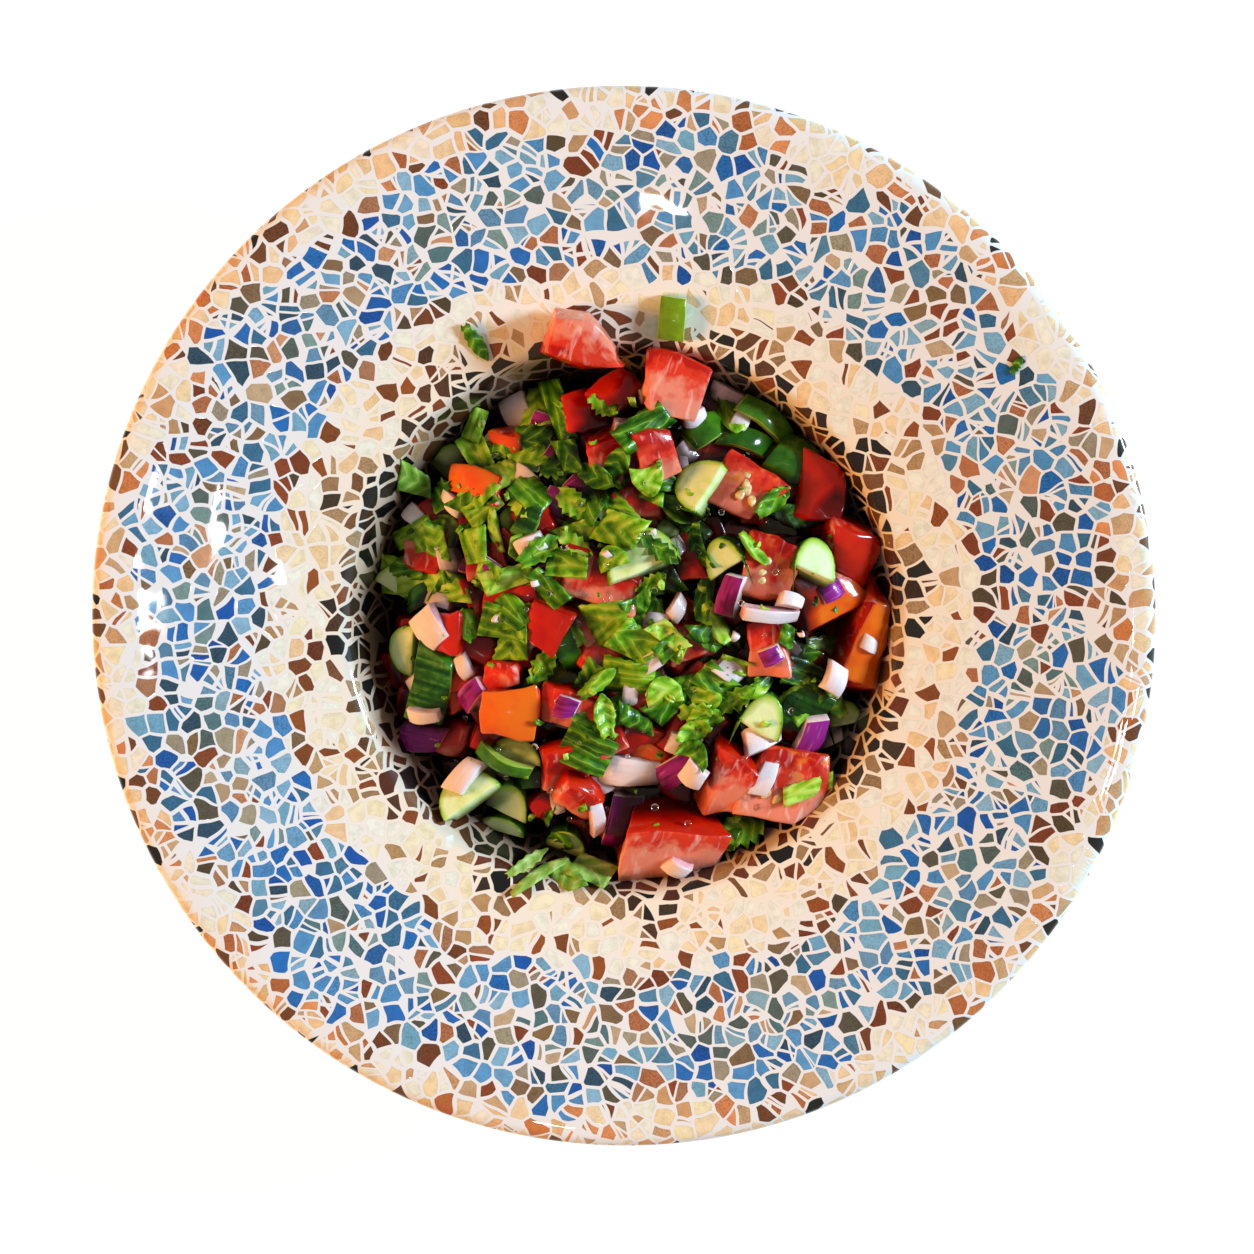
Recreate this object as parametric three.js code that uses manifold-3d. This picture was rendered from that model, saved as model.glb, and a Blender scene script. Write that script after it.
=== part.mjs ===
// A wide-rimmed pottery bowl filled with shepherd's salad: diced tomato, cucumber, red onion and
// green pepper under chopped parsley. Millimetres, +Z up, origin at the middle of the foot's underside.
import * as THREE from 'three';
import { mergeVertices } from 'three/addons/utils/BufferGeometryUtils.js';
import Module from 'manifold-3d';

const wasm = await Module();
wasm.setup();

// The bowl's driving sizes
const BOWL_RADIUS = 140;
const RIM_HEIGHT = 54.2;
const RIM_SLOPE = 0.19;
const RIM_THICKNESS = 4.4;
const EDGE_DEPTH = 3.2;
const LIP_RADIUS = 73.5;
const LIP_ROUND = 3;
const WALL_THICKNESS = 4.4;
const WALL_FOOT_RADIUS = 66;
const WALL_FOOT_HEIGHT = 20;
const FLOOR_RADIUS = 48;
const FLOOR_HEIGHT = 7.5;
const INNER_BEND = new THREE.Vector2(62, 8.3);
const OUTER_BEND = new THREE.Vector2(66.5, 5);
const FOOT_RADIUS = 46;
const FOOT_WIDTH = 4.5;
const FOOT_TOP = 3.2;
const FOOT_TAPER = 1;
const FOOT_RECESS = 2.5;
const CURVE_STEPS = 3;
const BOWL_SEGMENTS = 48;

// The heap of salad
const CROWN_HEIGHT = 44.5;
const SHORE_HEIGHT = 23;
const SHORE_RADIUS = 69;
const HEAP_SHIFT_X = 1;
const HEAP_SHIFT_Y = 1;
const HEAP_SEGMENTS = 28;
const CLEARANCE = 0.4;

// How pieces settle on one another
const GRID_HALF = 84;
const GRID_STEP = 1;
const STEEPEST = 0.55;
const REST_SHARE = 0.85;

// Thin pieces
const LEAF_THICKNESS = 0.7;
const LEAF_WAVE = 0.6;
const LEAF_DROOP = 2.5;
const LEAF_STIFFNESS = 0.45;
const LONG_LEAF = 12.5;
const PEPPER_WALL = 2.6;
const ONION_LAYER = 2.8;
const CUCUMBER_THICKNESS = 7;

// The pieces that stand out. Each row is one piece: x and y of its middle, its length and width, how
// far it is turned in degrees, and its layer, because lower layers are put down first.
const TOMATO_DICE = [
  [-9, 53, 13, 11, 0, 1], [-2, 58, 13, 11, 40, 1], [-1, 46, 15, 11, 10, 2], [-37, 35, 14, 8, -10, 1],
  [12, 64, 15, 14, -12, 3], [7, 44, 11, 11, 20, 2], [31, 33, 15, 15, -35, 3], [54, 35, 16, 11, 80, 2],
  [59, 23, 13, 13, -25, 2], [-43, -3, 8, 10, 0, 1], [-31, -14, 10, 7, 10, 1], [-28, -25, 13, 13, -4, 3],
  [-14, -22, 13, 11, -14, 2], [-15, -37, 14, 9, 6, 2], [-13, -45, 12, 9, -30, 2], [-6, 10, 20, 12, -18, 2],
  [38, 11, 12, 15, -15, 2], [39, -4, 11, 14, 5, 2], [51, 6, 19, 13, 25, 1], [62, -6, 29, 12, 68, 3],
  [27, -39, 12, 16, -15, 2], [43, -44, 20, 16, -12, 2], [13, -56, 21, 19, -8, 3], [18, -5, 12, 9, 20, 1],
];
const CUCUMBER_SLICES = [
  [22, 35, 15, 10, 70, 2], [30, 18, 11, 9, 20, 1], [48, 16, 12, 10, -15, 2], [5, 18, 20, 12, 8, 2],
  [-27, -33, 15, 8, -8, 1], [-42, -48, 18, 9, 38, 3], [-30, -46, 12, 11, -10, 2], [38, -24, 11, 10, -20, 2],
];
const CUCUMBER_SKINS = [
  [-56, -8, 15, 8, 85, 1], [-51, -17, 20, 9, 76, 2], [-15, -58, 12, 7, -14, 2], [48, -23, 12, 11, 60, 1],
  [-24, 26, 12, 6, 65, 1],
];
const PEPPER_STRIPS = [
  [37, 53, 17, 6, -40, 2], [45, 42, 14, 11, 50, 2], [22, 50, 13, 8, 25, 1], [32, 47, 14, 6, -20, 1],
  [24, -57, 12, 6, -65, 1],
];
const ONION_PETALS = [
  [31, 59, 16, 5, -25, 1], [-50, -2, 11, 9, -50, 2], [-39, -20, 9, 6, 50, 2], [-14, -22, 6, 6, -10, 4],
  [-55, -33, 12, 9, -8, 2], [-42, -43, 11, 6, 50, 3], [0, -54, 17, 8, 75, 2], [30, 8, 12, 6, 75, 3],
  [39, 4, 16, 4, -5, 4], [56, -15, 8, 6, 70, 4], [50, -30, 12, 7, 68, 3], [37, -32, 11, 7, 15, 2],
  [16, -39, 14, 7, 35, 3], [2, -40, 16, 8, -5, 2],
];
const PARSLEY_LEAVES = [
  [-17, 56, 17, 6, -68, 3], [6, 52, 15, 11, 35, 4], [-54, 10, 26, 9, -8, 3], [-3, 1, 12, 11, 20, 3],
  [18, 26, 13, 7, -30, 3], [45, 28, 14, 8, -15, 3], [-9, -34, 14, 12, -25, 2], [32, -57, 12, 11, 20, 3],
  [-23, -69, 17, 4, 30, 3],
];

// The rest of the parsley and onion is sprinkled on a spiral, which spaces it evenly.
const SPRINKLED_LEAVES = 84;
const SPRINKLED_ONIONS = 26;
const SPRINKLE_RADIUS = 62;
const GOLDEN_ANGLE = Math.PI * (3 - Math.sqrt(5));

// The pieces that fell on the rim, in the same form but without a layer
const RIM_TOMATO = [-9, 79, 21, 13, -14];
const RIM_PEPPER = [13.5, 80.5, 11.5, 7, 86];
const RIM_PARSLEY = [-39, 74, 11, 4.5, -55];
const RIM_FLECK = [103, 68, 5, 3.5, 60];

// A repeatable random number from 0 to 1, so that the same heap is made each time.
function seeded(seed) {
  let state = seed;
  return () => {
    state = (Math.imul(state, 1664525) + 1013904223) >>> 0;
    return state / 2 ** 32;
  };
}
const random = seeded(7);

// The inner face of the bowl from the middle of the floor out to the rim's edge, as (radius, height).
function innerProfile() {
  const lipHeight = RIM_HEIGHT - RIM_SLOPE * (BOWL_RADIUS - EDGE_DEPTH - LIP_RADIUS - LIP_ROUND);
  const path = new THREE.Path();
  path.moveTo(0, FLOOR_HEIGHT);
  path.lineTo(FLOOR_RADIUS, FLOOR_HEIGHT);
  path.quadraticCurveTo(INNER_BEND.x, INNER_BEND.y, WALL_FOOT_RADIUS, WALL_FOOT_HEIGHT);
  path.lineTo(LIP_RADIUS - LIP_ROUND / 3, lipHeight - LIP_ROUND);
  path.quadraticCurveTo(LIP_RADIUS, lipHeight - LIP_ROUND * RIM_SLOPE, LIP_RADIUS + LIP_ROUND, lipHeight);
  path.lineTo(BOWL_RADIUS - EDGE_DEPTH, RIM_HEIGHT);
  return path.getPoints(CURVE_STEPS);
}

// The rounded edge and the underside, from the rim's edge in to the middle of the foot's recess.
function outerProfile() {
  const underEdge = RIM_HEIGHT - RIM_THICKNESS;
  const cornerRadius = LIP_RADIUS + WALL_THICKNESS;
  const cornerHeight = underEdge - RIM_SLOPE * (BOWL_RADIUS - EDGE_DEPTH - cornerRadius);
  const path = new THREE.Path();
  path.moveTo(BOWL_RADIUS - EDGE_DEPTH, RIM_HEIGHT);
  path.quadraticCurveTo(BOWL_RADIUS, RIM_HEIGHT, BOWL_RADIUS, RIM_HEIGHT - RIM_THICKNESS / 2);
  path.quadraticCurveTo(BOWL_RADIUS, underEdge, BOWL_RADIUS - EDGE_DEPTH, underEdge);
  path.lineTo(cornerRadius + LIP_ROUND, cornerHeight + LIP_ROUND * RIM_SLOPE);
  path.quadraticCurveTo(cornerRadius, cornerHeight, cornerRadius - LIP_ROUND / 3, cornerHeight - LIP_ROUND);
  path.lineTo(WALL_FOOT_RADIUS + WALL_THICKNESS, WALL_FOOT_HEIGHT);
  path.quadraticCurveTo(OUTER_BEND.x, OUTER_BEND.y, FOOT_RADIUS + FOOT_TAPER, FOOT_TOP);
  path.lineTo(FOOT_RADIUS, 0);
  path.lineTo(FOOT_RADIUS - FOOT_WIDTH, 0);
  path.lineTo(FOOT_RADIUS - FOOT_WIDTH - FOOT_TAPER, FOOT_RECESS);
  path.lineTo(0, FOOT_RECESS);
  return path.getPoints(CURVE_STEPS);
}

// A solid turned about the upright axis from a profile that runs from the axis at the bottom,
// outwards and back to the axis at the top.
function turned(profile, segments) {
  const geometry = new THREE.LatheGeometry(profile, segments);
  geometry.rotateX(Math.PI / 2);
  return geometry;
}

function bowlGeometry() {
  const inner = innerProfile().reverse();
  const outer = outerProfile().reverse();
  return turned([...outer, ...inner.slice(1)], BOWL_SEGMENTS);
}

// The height of the bowl's inner face at a radius.
const INNER_FACE = innerProfile();
function bowlTop(radius) {
  const next = INNER_FACE.findIndex((point) => point.x > radius);
  if (next < 1) return RIM_HEIGHT;
  const [a, b] = [INNER_FACE[next - 1], INNER_FACE[next]];
  return THREE.MathUtils.mapLinear(radius, a.x, b.x, a.y, b.y);
}

// The salad's own surface before any piece is put on it.
function heapTop(x, y) {
  const radius = Math.hypot(x - HEAP_SHIFT_X, y - HEAP_SHIFT_Y) / SHORE_RADIUS;
  const dome = Math.pow(Math.max(0, 1 - radius * radius), 0.8);
  return SHORE_HEIGHT + (CROWN_HEIGHT - SHORE_HEIGHT) * dome;
}

function groundHeight(x, y) {
  return Math.max(heapTop(x, y), bowlTop(Math.hypot(x, y)) + CLEARANCE);
}

// Heights on a square grid. Each piece rests on it and then raises it.
class HeightField {
  constructor(heightAt) {
    this.count = (2 * GRID_HALF) / GRID_STEP + 1;
    this.cells = Float32Array.from({ length: this.count ** 2 }, (_, index) => {
      const [column, row] = [index % this.count, Math.floor(index / this.count)];
      return heightAt(column * GRID_STEP - GRID_HALF, row * GRID_STEP - GRID_HALF);
    });
  }

  index(x, y) {
    const column = THREE.MathUtils.clamp(Math.round((x + GRID_HALF) / GRID_STEP), 0, this.count - 1);
    const row = THREE.MathUtils.clamp(Math.round((y + GRID_HALF) / GRID_STEP), 0, this.count - 1);
    return row * this.count + column;
  }

  at(x, y) {
    return this.cells[this.index(x, y)];
  }

  // Raises the cells under a footprint to the height that topAt gives for the piece's own u and v.
  raise(rest, length, width, topAt) {
    const { x, y, cos, sin } = rest;
    for (let u = -length / 2; u <= length / 2; u += GRID_STEP / 2) {
      for (let v = -width / 2; v <= width / 2; v += GRID_STEP / 2) {
        const cell = this.index(x + u * cos - v * sin, y + u * sin + v * cos);
        this.cells[cell] = Math.max(this.cells[cell], topAt(u, v));
      }
    }
  }
}

// Where a flat-bottomed piece comes to rest: the plane through the heights under it, lifted until
// the given share of them is below it.
function settle([x, y, length, width, degrees], heightAt, share = REST_SHARE) {
  const angle = THREE.MathUtils.degToRad(degrees);
  const [cos, sin] = [Math.cos(angle), Math.sin(angle)];
  const steps = [-0.45, -0.225, 0, 0.225, 0.45];
  const samples = steps.flatMap((i) => steps.map((j) => {
    const [u, v] = [i * length, j * width];
    return { u, v, height: heightAt(x + u * cos - v * sin, y + u * sin + v * cos) };
  }));
  const sum = (value) => samples.reduce((total, sample) => total + value(sample), 0);
  const slope = (axis) => THREE.MathUtils.clamp(
    sum((s) => s[axis] * s.height) / sum((s) => s[axis] ** 2), -STEEPEST, STEEPEST);
  const [slopeU, slopeV] = [slope('u'), slope('v')];
  const mean = sum((s) => s.height) / samples.length;
  const gaps = samples.map((s) => s.height - mean - slopeU * s.u - slopeV * s.v).sort((a, b) => a - b);
  const height = mean + gaps[Math.round((gaps.length - 1) * share)];
  return { x, y, cos, sin, slopeU, slopeV, height };
}

// The matrix that lays a piece, whose underside is its own z = 0, on its resting plane.
function restingMatrix(rest, sink = 0) {
  const alongU = new THREE.Vector3(rest.cos, rest.sin, rest.slopeU).normalize();
  const alongV = new THREE.Vector3(-rest.sin, rest.cos, rest.slopeV);
  const up = new THREE.Vector3().crossVectors(alongU, alongV).normalize();
  const across = new THREE.Vector3().crossVectors(up, alongU);
  return new THREE.Matrix4().makeBasis(alongU, across, up).setPosition(rest.x, rest.y, rest.height - sink);
}

// A box standing on z = 0 whose shared corners can be moved one by one.
function block(length, width, thickness, stepsU, stepsV) {
  const box = new THREE.BoxGeometry(length, width, thickness, stepsU, stepsV, 1);
  box.deleteAttribute('normal');
  box.deleteAttribute('uv');
  box.translate(0, 0, thickness / 2);
  return mergeVertices(box);
}

function reshape(geometry, move) {
  const position = geometry.getAttribute('position');
  const point = new THREE.Vector3();
  for (let i = 0; i < position.count; i += 1) {
    point.fromBufferAttribute(position, i);
    move(point);
    position.setXYZ(i, point.x, point.y, point.z);
  }
  return geometry;
}

// A knife-cut die of tomato: uneven corners, and a skin side that swells.
function tomatoDie(length, width, thickness) {
  return reshape(block(length, width, thickness, 2, 1), (p) => {
    const middle = 1 - Math.max(Math.abs(p.x) / length, Math.abs(p.y) / width) * 2;
    p.x += (random() - 0.5) * 0.16 * length;
    p.y += (random() - 0.5) * 0.16 * width;
    p.z += p.z > 0 ? (random() - 0.6) * 0.2 * thickness + middle * 0.15 * thickness : 0;
  });
}

// A slab of cucumber with its cut face up: one straight side and one round, peeled side.
function cucumberSlice(length, width, thickness) {
  const outline = new THREE.Shape();
  outline.absellipse(0, -width / 2, length / 2, width, 0, Math.PI);
  outline.closePath();
  return new THREE.ExtrudeGeometry(outline, { depth: thickness, bevelEnabled: false, curveSegments: 7 });
}

// A piece whose top is arched along its length, as a thick slice of cucumber is on its skin side.
function archedPiece(length, width, thickness) {
  return reshape(block(length, width, thickness, 3, 1), (p) => {
    p.z -= p.z > 0 ? 0.45 * thickness * (2 * p.x / length) ** 2 : 0;
  });
}

// A curled plate bent along its length, as onion layers and rings of pepper are.
function curledPlate(length, width, thickness, rise, steps) {
  return reshape(block(length, width, thickness, steps, 1), (p) => {
    p.z += rise * (1 - (2 * p.x / length) ** 2);
    p.y *= 1 - 0.25 * Math.abs(2 * p.x / length);
  });
}

const pepperStrip = (length, width, thickness) => curledPlate(length, width, thickness, 3, 4);
const onionPetal = (length, width, thickness) => curledPlate(length, width, thickness, 1.2, 3);

// A thin closed sheet over a grid of points: both faces are split alike, so it can be wavy.
function sheet(stepsU, stepsV, thickness, pointAt) {
  const [across, down] = [stepsU + 1, stepsV + 1];
  const top = Array.from({ length: across * down }, (_, i) => pointAt(i % across, Math.floor(i / across)));
  const vertices = [...top, ...top.map((p) => p.clone().setZ(p.z - thickness))];
  const index = [];
  const quad = (a, b, c, d) => index.push(a, b, c, a, c, d);
  for (let v = 0; v < stepsV; v += 1) {
    for (let u = 0; u < stepsU; u += 1) {
      const corner = v * across + u;
      const [a, b, c, d] = [corner, corner + 1, corner + 1 + across, corner + across];
      quad(a, b, c, d);
      index.push(...[a, c, b, a, d, c].map((i) => i + top.length));
    }
  }
  const border = [
    ...Array.from({ length: stepsU }, (_, u) => u),
    ...Array.from({ length: stepsV }, (_, v) => v * across + stepsU),
    ...Array.from({ length: stepsU }, (_, u) => stepsV * across + stepsU - u),
    ...Array.from({ length: stepsV }, (_, v) => (stepsV - v) * across),
  ];
  border.forEach((a, i) => {
    const b = border[(i + 1) % border.length];
    quad(a, a + top.length, b + top.length, b);
  });
  const geometry = new THREE.BufferGeometry().setFromPoints(vertices);
  return geometry.setIndex(index);
}

// A cut of leaf, pointed at one end, draped over what lies under it.
function parsleyLeaf(rest, length, width, heightAt) {
  const [stepsU, stepsV] = [length > LONG_LEAF ? 3 : 2, 2];
  return sheet(stepsU, stepsV, LEAF_THICKNESS, (i, j) => {
    const [s, t] = [2 * i / stepsU - 1, 2 * j / stepsV - 1];
    const half = 0.5 * width * Math.sqrt(1 - 0.85 * Math.max(0, s) ** 2);
    const [u, v] = [0.5 * s * length, t * half];
    const x = rest.x + u * rest.cos - v * rest.sin;
    const y = rest.y + u * rest.sin + v * rest.cos;
    const plane = rest.height + rest.slopeU * u + rest.slopeV * v;
    const under = Math.max(heightAt(x, y), plane - LEAF_DROOP);
    const wave = LEAF_WAVE * (Math.cos(Math.PI * s) + t * t);
    return new THREE.Vector3(x, y, THREE.MathUtils.lerp(under, plane, LEAF_STIFFNESS) + wave);
  });
}

// manifold-3d's solid of a closed geometry, and a geometry of its solid
function solidOf(source) {
  const geometry = source.clone();
  geometry.deleteAttribute('normal');
  geometry.deleteAttribute('uv');
  const merged = mergeVertices(geometry);
  return new wasm.Manifold(new wasm.Mesh({
    numProp: 3,
    vertProperties: merged.getAttribute('position').array,
    triVerts: new Uint32Array(merged.index.array),
  }));
}

function geometryOf(solid) {
  const { vertProperties, triVerts } = solid.getMesh();
  const geometry = new THREE.BufferGeometry();
  geometry.setAttribute('position', new THREE.BufferAttribute(vertProperties, 3));
  geometry.setIndex(new THREE.BufferAttribute(triVerts, 1));
  geometry.computeVertexNormals();
  return geometry;
}

// The room the salad has: everything above the bowl's inner face, less a small clearance.
function roomInBowl() {
  const shifted = innerProfile().map((p) => {
    const onWall = p.x > FLOOR_RADIUS && p.x < LIP_RADIUS + LIP_ROUND;
    return new THREE.Vector2(onWall ? p.x - CLEARANCE : p.x, p.y + CLEARANCE);
  });
  const ceiling = 2 * RIM_HEIGHT;
  shifted.push(new THREE.Vector2(shifted.at(-1).x, ceiling), new THREE.Vector2(0, ceiling));
  return solidOf(turned(shifted, HEAP_SEGMENTS));
}

// The salad's bulk under the pieces that show. It reaches below the room it is cut to.
function heapCore() {
  const profile = [new THREE.Vector2(0, 0), new THREE.Vector2(SHORE_RADIUS, 0)];
  for (const share of [1, 0.92, 0.8, 0.62, 0.4, 0.2, 0]) {
    const radius = share * SHORE_RADIUS;
    profile.push(new THREE.Vector2(radius, heapTop(radius + HEAP_SHIFT_X, HEAP_SHIFT_Y) - LEAF_THICKNESS));
  }
  return solidOf(turned(profile, HEAP_SEGMENTS).translate(HEAP_SHIFT_X, HEAP_SHIFT_Y, 0));
}

// How green the salad is at a place, from 0 to 1: most of the parsley lies behind and left of the
// middle, with a second drift right of it.
function greenShare(x, y) {
  const behind = Math.hypot((x + 12) / 44, (y - 24) / 34);
  const right = Math.hypot((x - 14) / 34, (y + 14) / 17);
  return Math.min(behind, right) < 1 ? 1 : 0.2;
}

// Rows for small pieces on the spiral, kept where a draw is under the share for that place.
function sprinkled(count, lengths, widths, layer, shareAt) {
  const draw = ([least, most]) => least + (most - least) * random();
  const rows = Array.from({ length: count }, (_, i) => {
    const radius = SPRINKLE_RADIUS * Math.sqrt((i + 0.5) / count);
    const [x, y] = [radius * Math.cos(i * GOLDEN_ANGLE), radius * Math.sin(i * GOLDEN_ANGLE)];
    return [x + draw([-2, 2]), y + draw([-2, 2]), draw(lengths), draw(widths), draw([0, 360]), layer];
  });
  return rows.filter(([x, y]) => random() < shareAt(x, y));
}

const LEAVES = [...PARSLEY_LEAVES, ...sprinkled(SPRINKLED_LEAVES, [9, 13], [6, 9], 3, greenShare)];
const ONIONS = [...ONION_PETALS, ...sprinkled(SPRINKLED_ONIONS, [6, 11], [4, 7], 2, () => 0.7)];

// What is made of each kind of piece: its thickness, how deep it sinks in, and its shape.
const KINDS = [
  { rows: TOMATO_DICE, thickness: (w) => 0.85 * w, sink: 0.4, shape: tomatoDie },
  { rows: CUCUMBER_SLICES, thickness: () => CUCUMBER_THICKNESS, sink: 0.45, shape: cucumberSlice },
  { rows: CUCUMBER_SKINS, thickness: () => CUCUMBER_THICKNESS, sink: 0.4, shape: archedPiece },
  { rows: PEPPER_STRIPS, thickness: () => PEPPER_WALL, sink: 0.2, shape: pepperStrip },
  { rows: ONIONS, thickness: () => ONION_LAYER, sink: 0.3, shape: onionPetal },
  { rows: LEAVES, thickness: () => LEAF_THICKNESS, leaf: true },
];

// Puts every piece of the heap down, layer by layer, and returns their solids.
function heapPieces() {
  const field = new HeightField(groundHeight);
  const heightAt = (x, y) => field.at(x, y);
  const pieces = KINDS.flatMap((kind) => kind.rows.map((row) => ({ kind, row })));
  pieces.sort((a, b) => a.row[5] - b.row[5]);
  return pieces.map(({ kind, row }) => {
    const [, , length, width] = row;
    const thickness = kind.thickness(width);
    const rest = settle(row, heightAt);
    if (kind.leaf) {
      const leaf = parsleyLeaf(rest, length, width, heightAt);
      field.raise(rest, length, width, (u, v) => rest.height + rest.slopeU * u + rest.slopeV * v);
      return solidOf(leaf);
    }
    const sink = kind.sink * thickness;
    const body = kind.shape(length, width, thickness);
    body.applyMatrix4(restingMatrix(rest, sink));
    const rise = thickness - sink;
    field.raise(rest, length, width, (u, v) => rest.height + rise + rest.slopeU * u + rest.slopeV * v);
    return solidOf(body);
  });
}

// The whole heap as one solid, cut clear of the bowl, without scraps that touch nothing.
function saladGeometry() {
  const fused = heapPieces().reduce((heap, piece) => heap.add(piece), heapCore());
  const bodies = fused.intersect(roomInBowl()).decompose();
  bodies.sort((a, b) => b.volume() - a.volume());
  return geometryOf(bodies[0]);
}

// A piece lying on the rim, just clear of the glaze.
function onRim(row, geometryFor) {
  const rest = settle(row, (x, y) => bowlTop(Math.hypot(x, y)), 1);
  rest.height += CLEARANCE;
  return geometryFor(rest, row[2], row[3]);
}

function rimPiece(row, shape) {
  return onRim(row, (rest, length, width) => shape(length, width).applyMatrix4(restingMatrix(rest)));
}

const rimPepper = (length, width) => curledPlate(length, width, PEPPER_WALL, 0.8, 3);

// A wedge of tomato that narrows to a thin end.
function tomatoWedge(length, width) {
  const height = 0.75 * width;
  return reshape(block(length, width, height, 3, 2), (p) => {
    const share = p.x / length + 0.5;
    p.y *= 1 - 0.75 * share ** 2;
    p.z *= 1 - 0.6 * share ** 2 - 0.3 * (2 * p.y / width) ** 2;
  });
}

function rimLeaf(row) {
  const rimHeight = (x, y) => bowlTop(Math.hypot(x, y)) + CLEARANCE + LEAF_THICKNESS;
  return onRim(row, (rest, length, width) => {
    rest.height += LEAF_THICKNESS + LEAF_WAVE;
    return parsleyLeaf(rest, length, width, rimHeight);
  });
}

const GLAZE = new THREE.MeshStandardMaterial({ color: '#e9e2d4', roughness: 0.12, metalness: 0 });
const SALAD = new THREE.MeshStandardMaterial({ color: '#8a5a2c', roughness: 0.3, metalness: 0 });
const TOMATO = new THREE.MeshStandardMaterial({ color: '#d2402e', roughness: 0.25, metalness: 0 });
const PEPPER = new THREE.MeshStandardMaterial({ color: '#86a81c', roughness: 0.3, metalness: 0 });
const PARSLEY = new THREE.MeshStandardMaterial({ color: '#3d7a1c', roughness: 0.4, metalness: 0 });

const saladBowl = new THREE.Group();
function addPiece(name, geometry, material) {
  const mesh = new THREE.Mesh(geometry, material);
  mesh.name = name;
  saladBowl.add(mesh);
}

addPiece('bowl', bowlGeometry(), GLAZE);
addPiece('salad', saladGeometry(), SALAD);
addPiece('rim_tomato_wedge', rimPiece(RIM_TOMATO, tomatoWedge), TOMATO);
addPiece('rim_pepper_strip', rimPiece(RIM_PEPPER, rimPepper), PEPPER);
addPiece('rim_parsley_leaf', rimLeaf(RIM_PARSLEY), PARSLEY);
addPiece('rim_parsley_fleck', rimLeaf(RIM_FLECK), PARSLEY);

export default saladBowl;
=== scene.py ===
"""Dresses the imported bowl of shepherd's salad with glaze, cut vegetables and herbs.

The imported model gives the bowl, the heap and the four pieces on the rim. This script keeps them in
place and replaces each with the real thing: a turned bowl under a broken-tile glaze, and a heap of
tomato, cucumber, pepper, onion and parsley whose pieces are dropped on one another in layers.
Lengths inside the classes are millimetres; each finished mesh is scaled once to Blender's metres.
"""
import logging
import math
import random
from dataclasses import dataclass, field
from enum import Enum
from functools import partial
from typing import Callable, Iterable, Sequence

import bmesh
import bpy
import numpy as np
from bmesh.types import BMEdge, BMesh, BMVert
from bpy.types import Material, NodeSocket, Object
from mathutils import Matrix, Vector, noise


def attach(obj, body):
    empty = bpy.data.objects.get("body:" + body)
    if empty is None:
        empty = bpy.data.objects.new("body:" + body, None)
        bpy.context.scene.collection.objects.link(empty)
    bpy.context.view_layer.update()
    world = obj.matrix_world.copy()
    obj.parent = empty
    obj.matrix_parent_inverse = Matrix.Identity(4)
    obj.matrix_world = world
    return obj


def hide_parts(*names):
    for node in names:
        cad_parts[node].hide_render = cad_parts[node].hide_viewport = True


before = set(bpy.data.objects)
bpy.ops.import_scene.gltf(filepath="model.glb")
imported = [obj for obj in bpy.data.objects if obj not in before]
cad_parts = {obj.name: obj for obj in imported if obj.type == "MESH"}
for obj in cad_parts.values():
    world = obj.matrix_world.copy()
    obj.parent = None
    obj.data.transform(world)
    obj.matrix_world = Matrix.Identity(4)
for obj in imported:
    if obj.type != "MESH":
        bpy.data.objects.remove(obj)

LOG = logging.getLogger("salad_bowl")
MM = 0.001
GOLDEN_ANGLE = math.pi * (3 - math.sqrt(5))
RIPPLE_SEED = 11
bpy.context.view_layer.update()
BLEND = {"data_type": "RGBA"}
TINT = {"data_type": "RGBA", "blend_type": "MULTIPLY"}

Colours = tuple[str, ...]
Stops = Sequence[tuple[float, str]]
Outline = list[tuple[float, float]]
Triple = tuple[float, float, float]
Reals = np.ndarray | float


# Colour and node helpers

def hex_colour(code: str) -> tuple[float, float, float, float]:
    """Turns an sRGB hex value into Blender's linear colour.

    Args:
        code: the colour as "#rrggbb".

    Returns:
        Linear red, green and blue, and an alpha of 1.
    """
    channels = [int(code[i:i + 2], 16) / 255 for i in (1, 3, 5)]
    linear = [c / 12.92 if c <= 0.04045 else ((c + 0.055) / 1.055) ** 2.4 for c in channels]
    return (*linear, 1.0)


def spaced(colours: Sequence[str], first: float = 0.0, last: float = 1.0) -> Stops:
    """Spaces hex colours evenly along a ramp, from the first place to the last."""
    return [(first + (last - first) * i / (len(colours) - 1), colour) for i, colour in enumerate(colours)]


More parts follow.
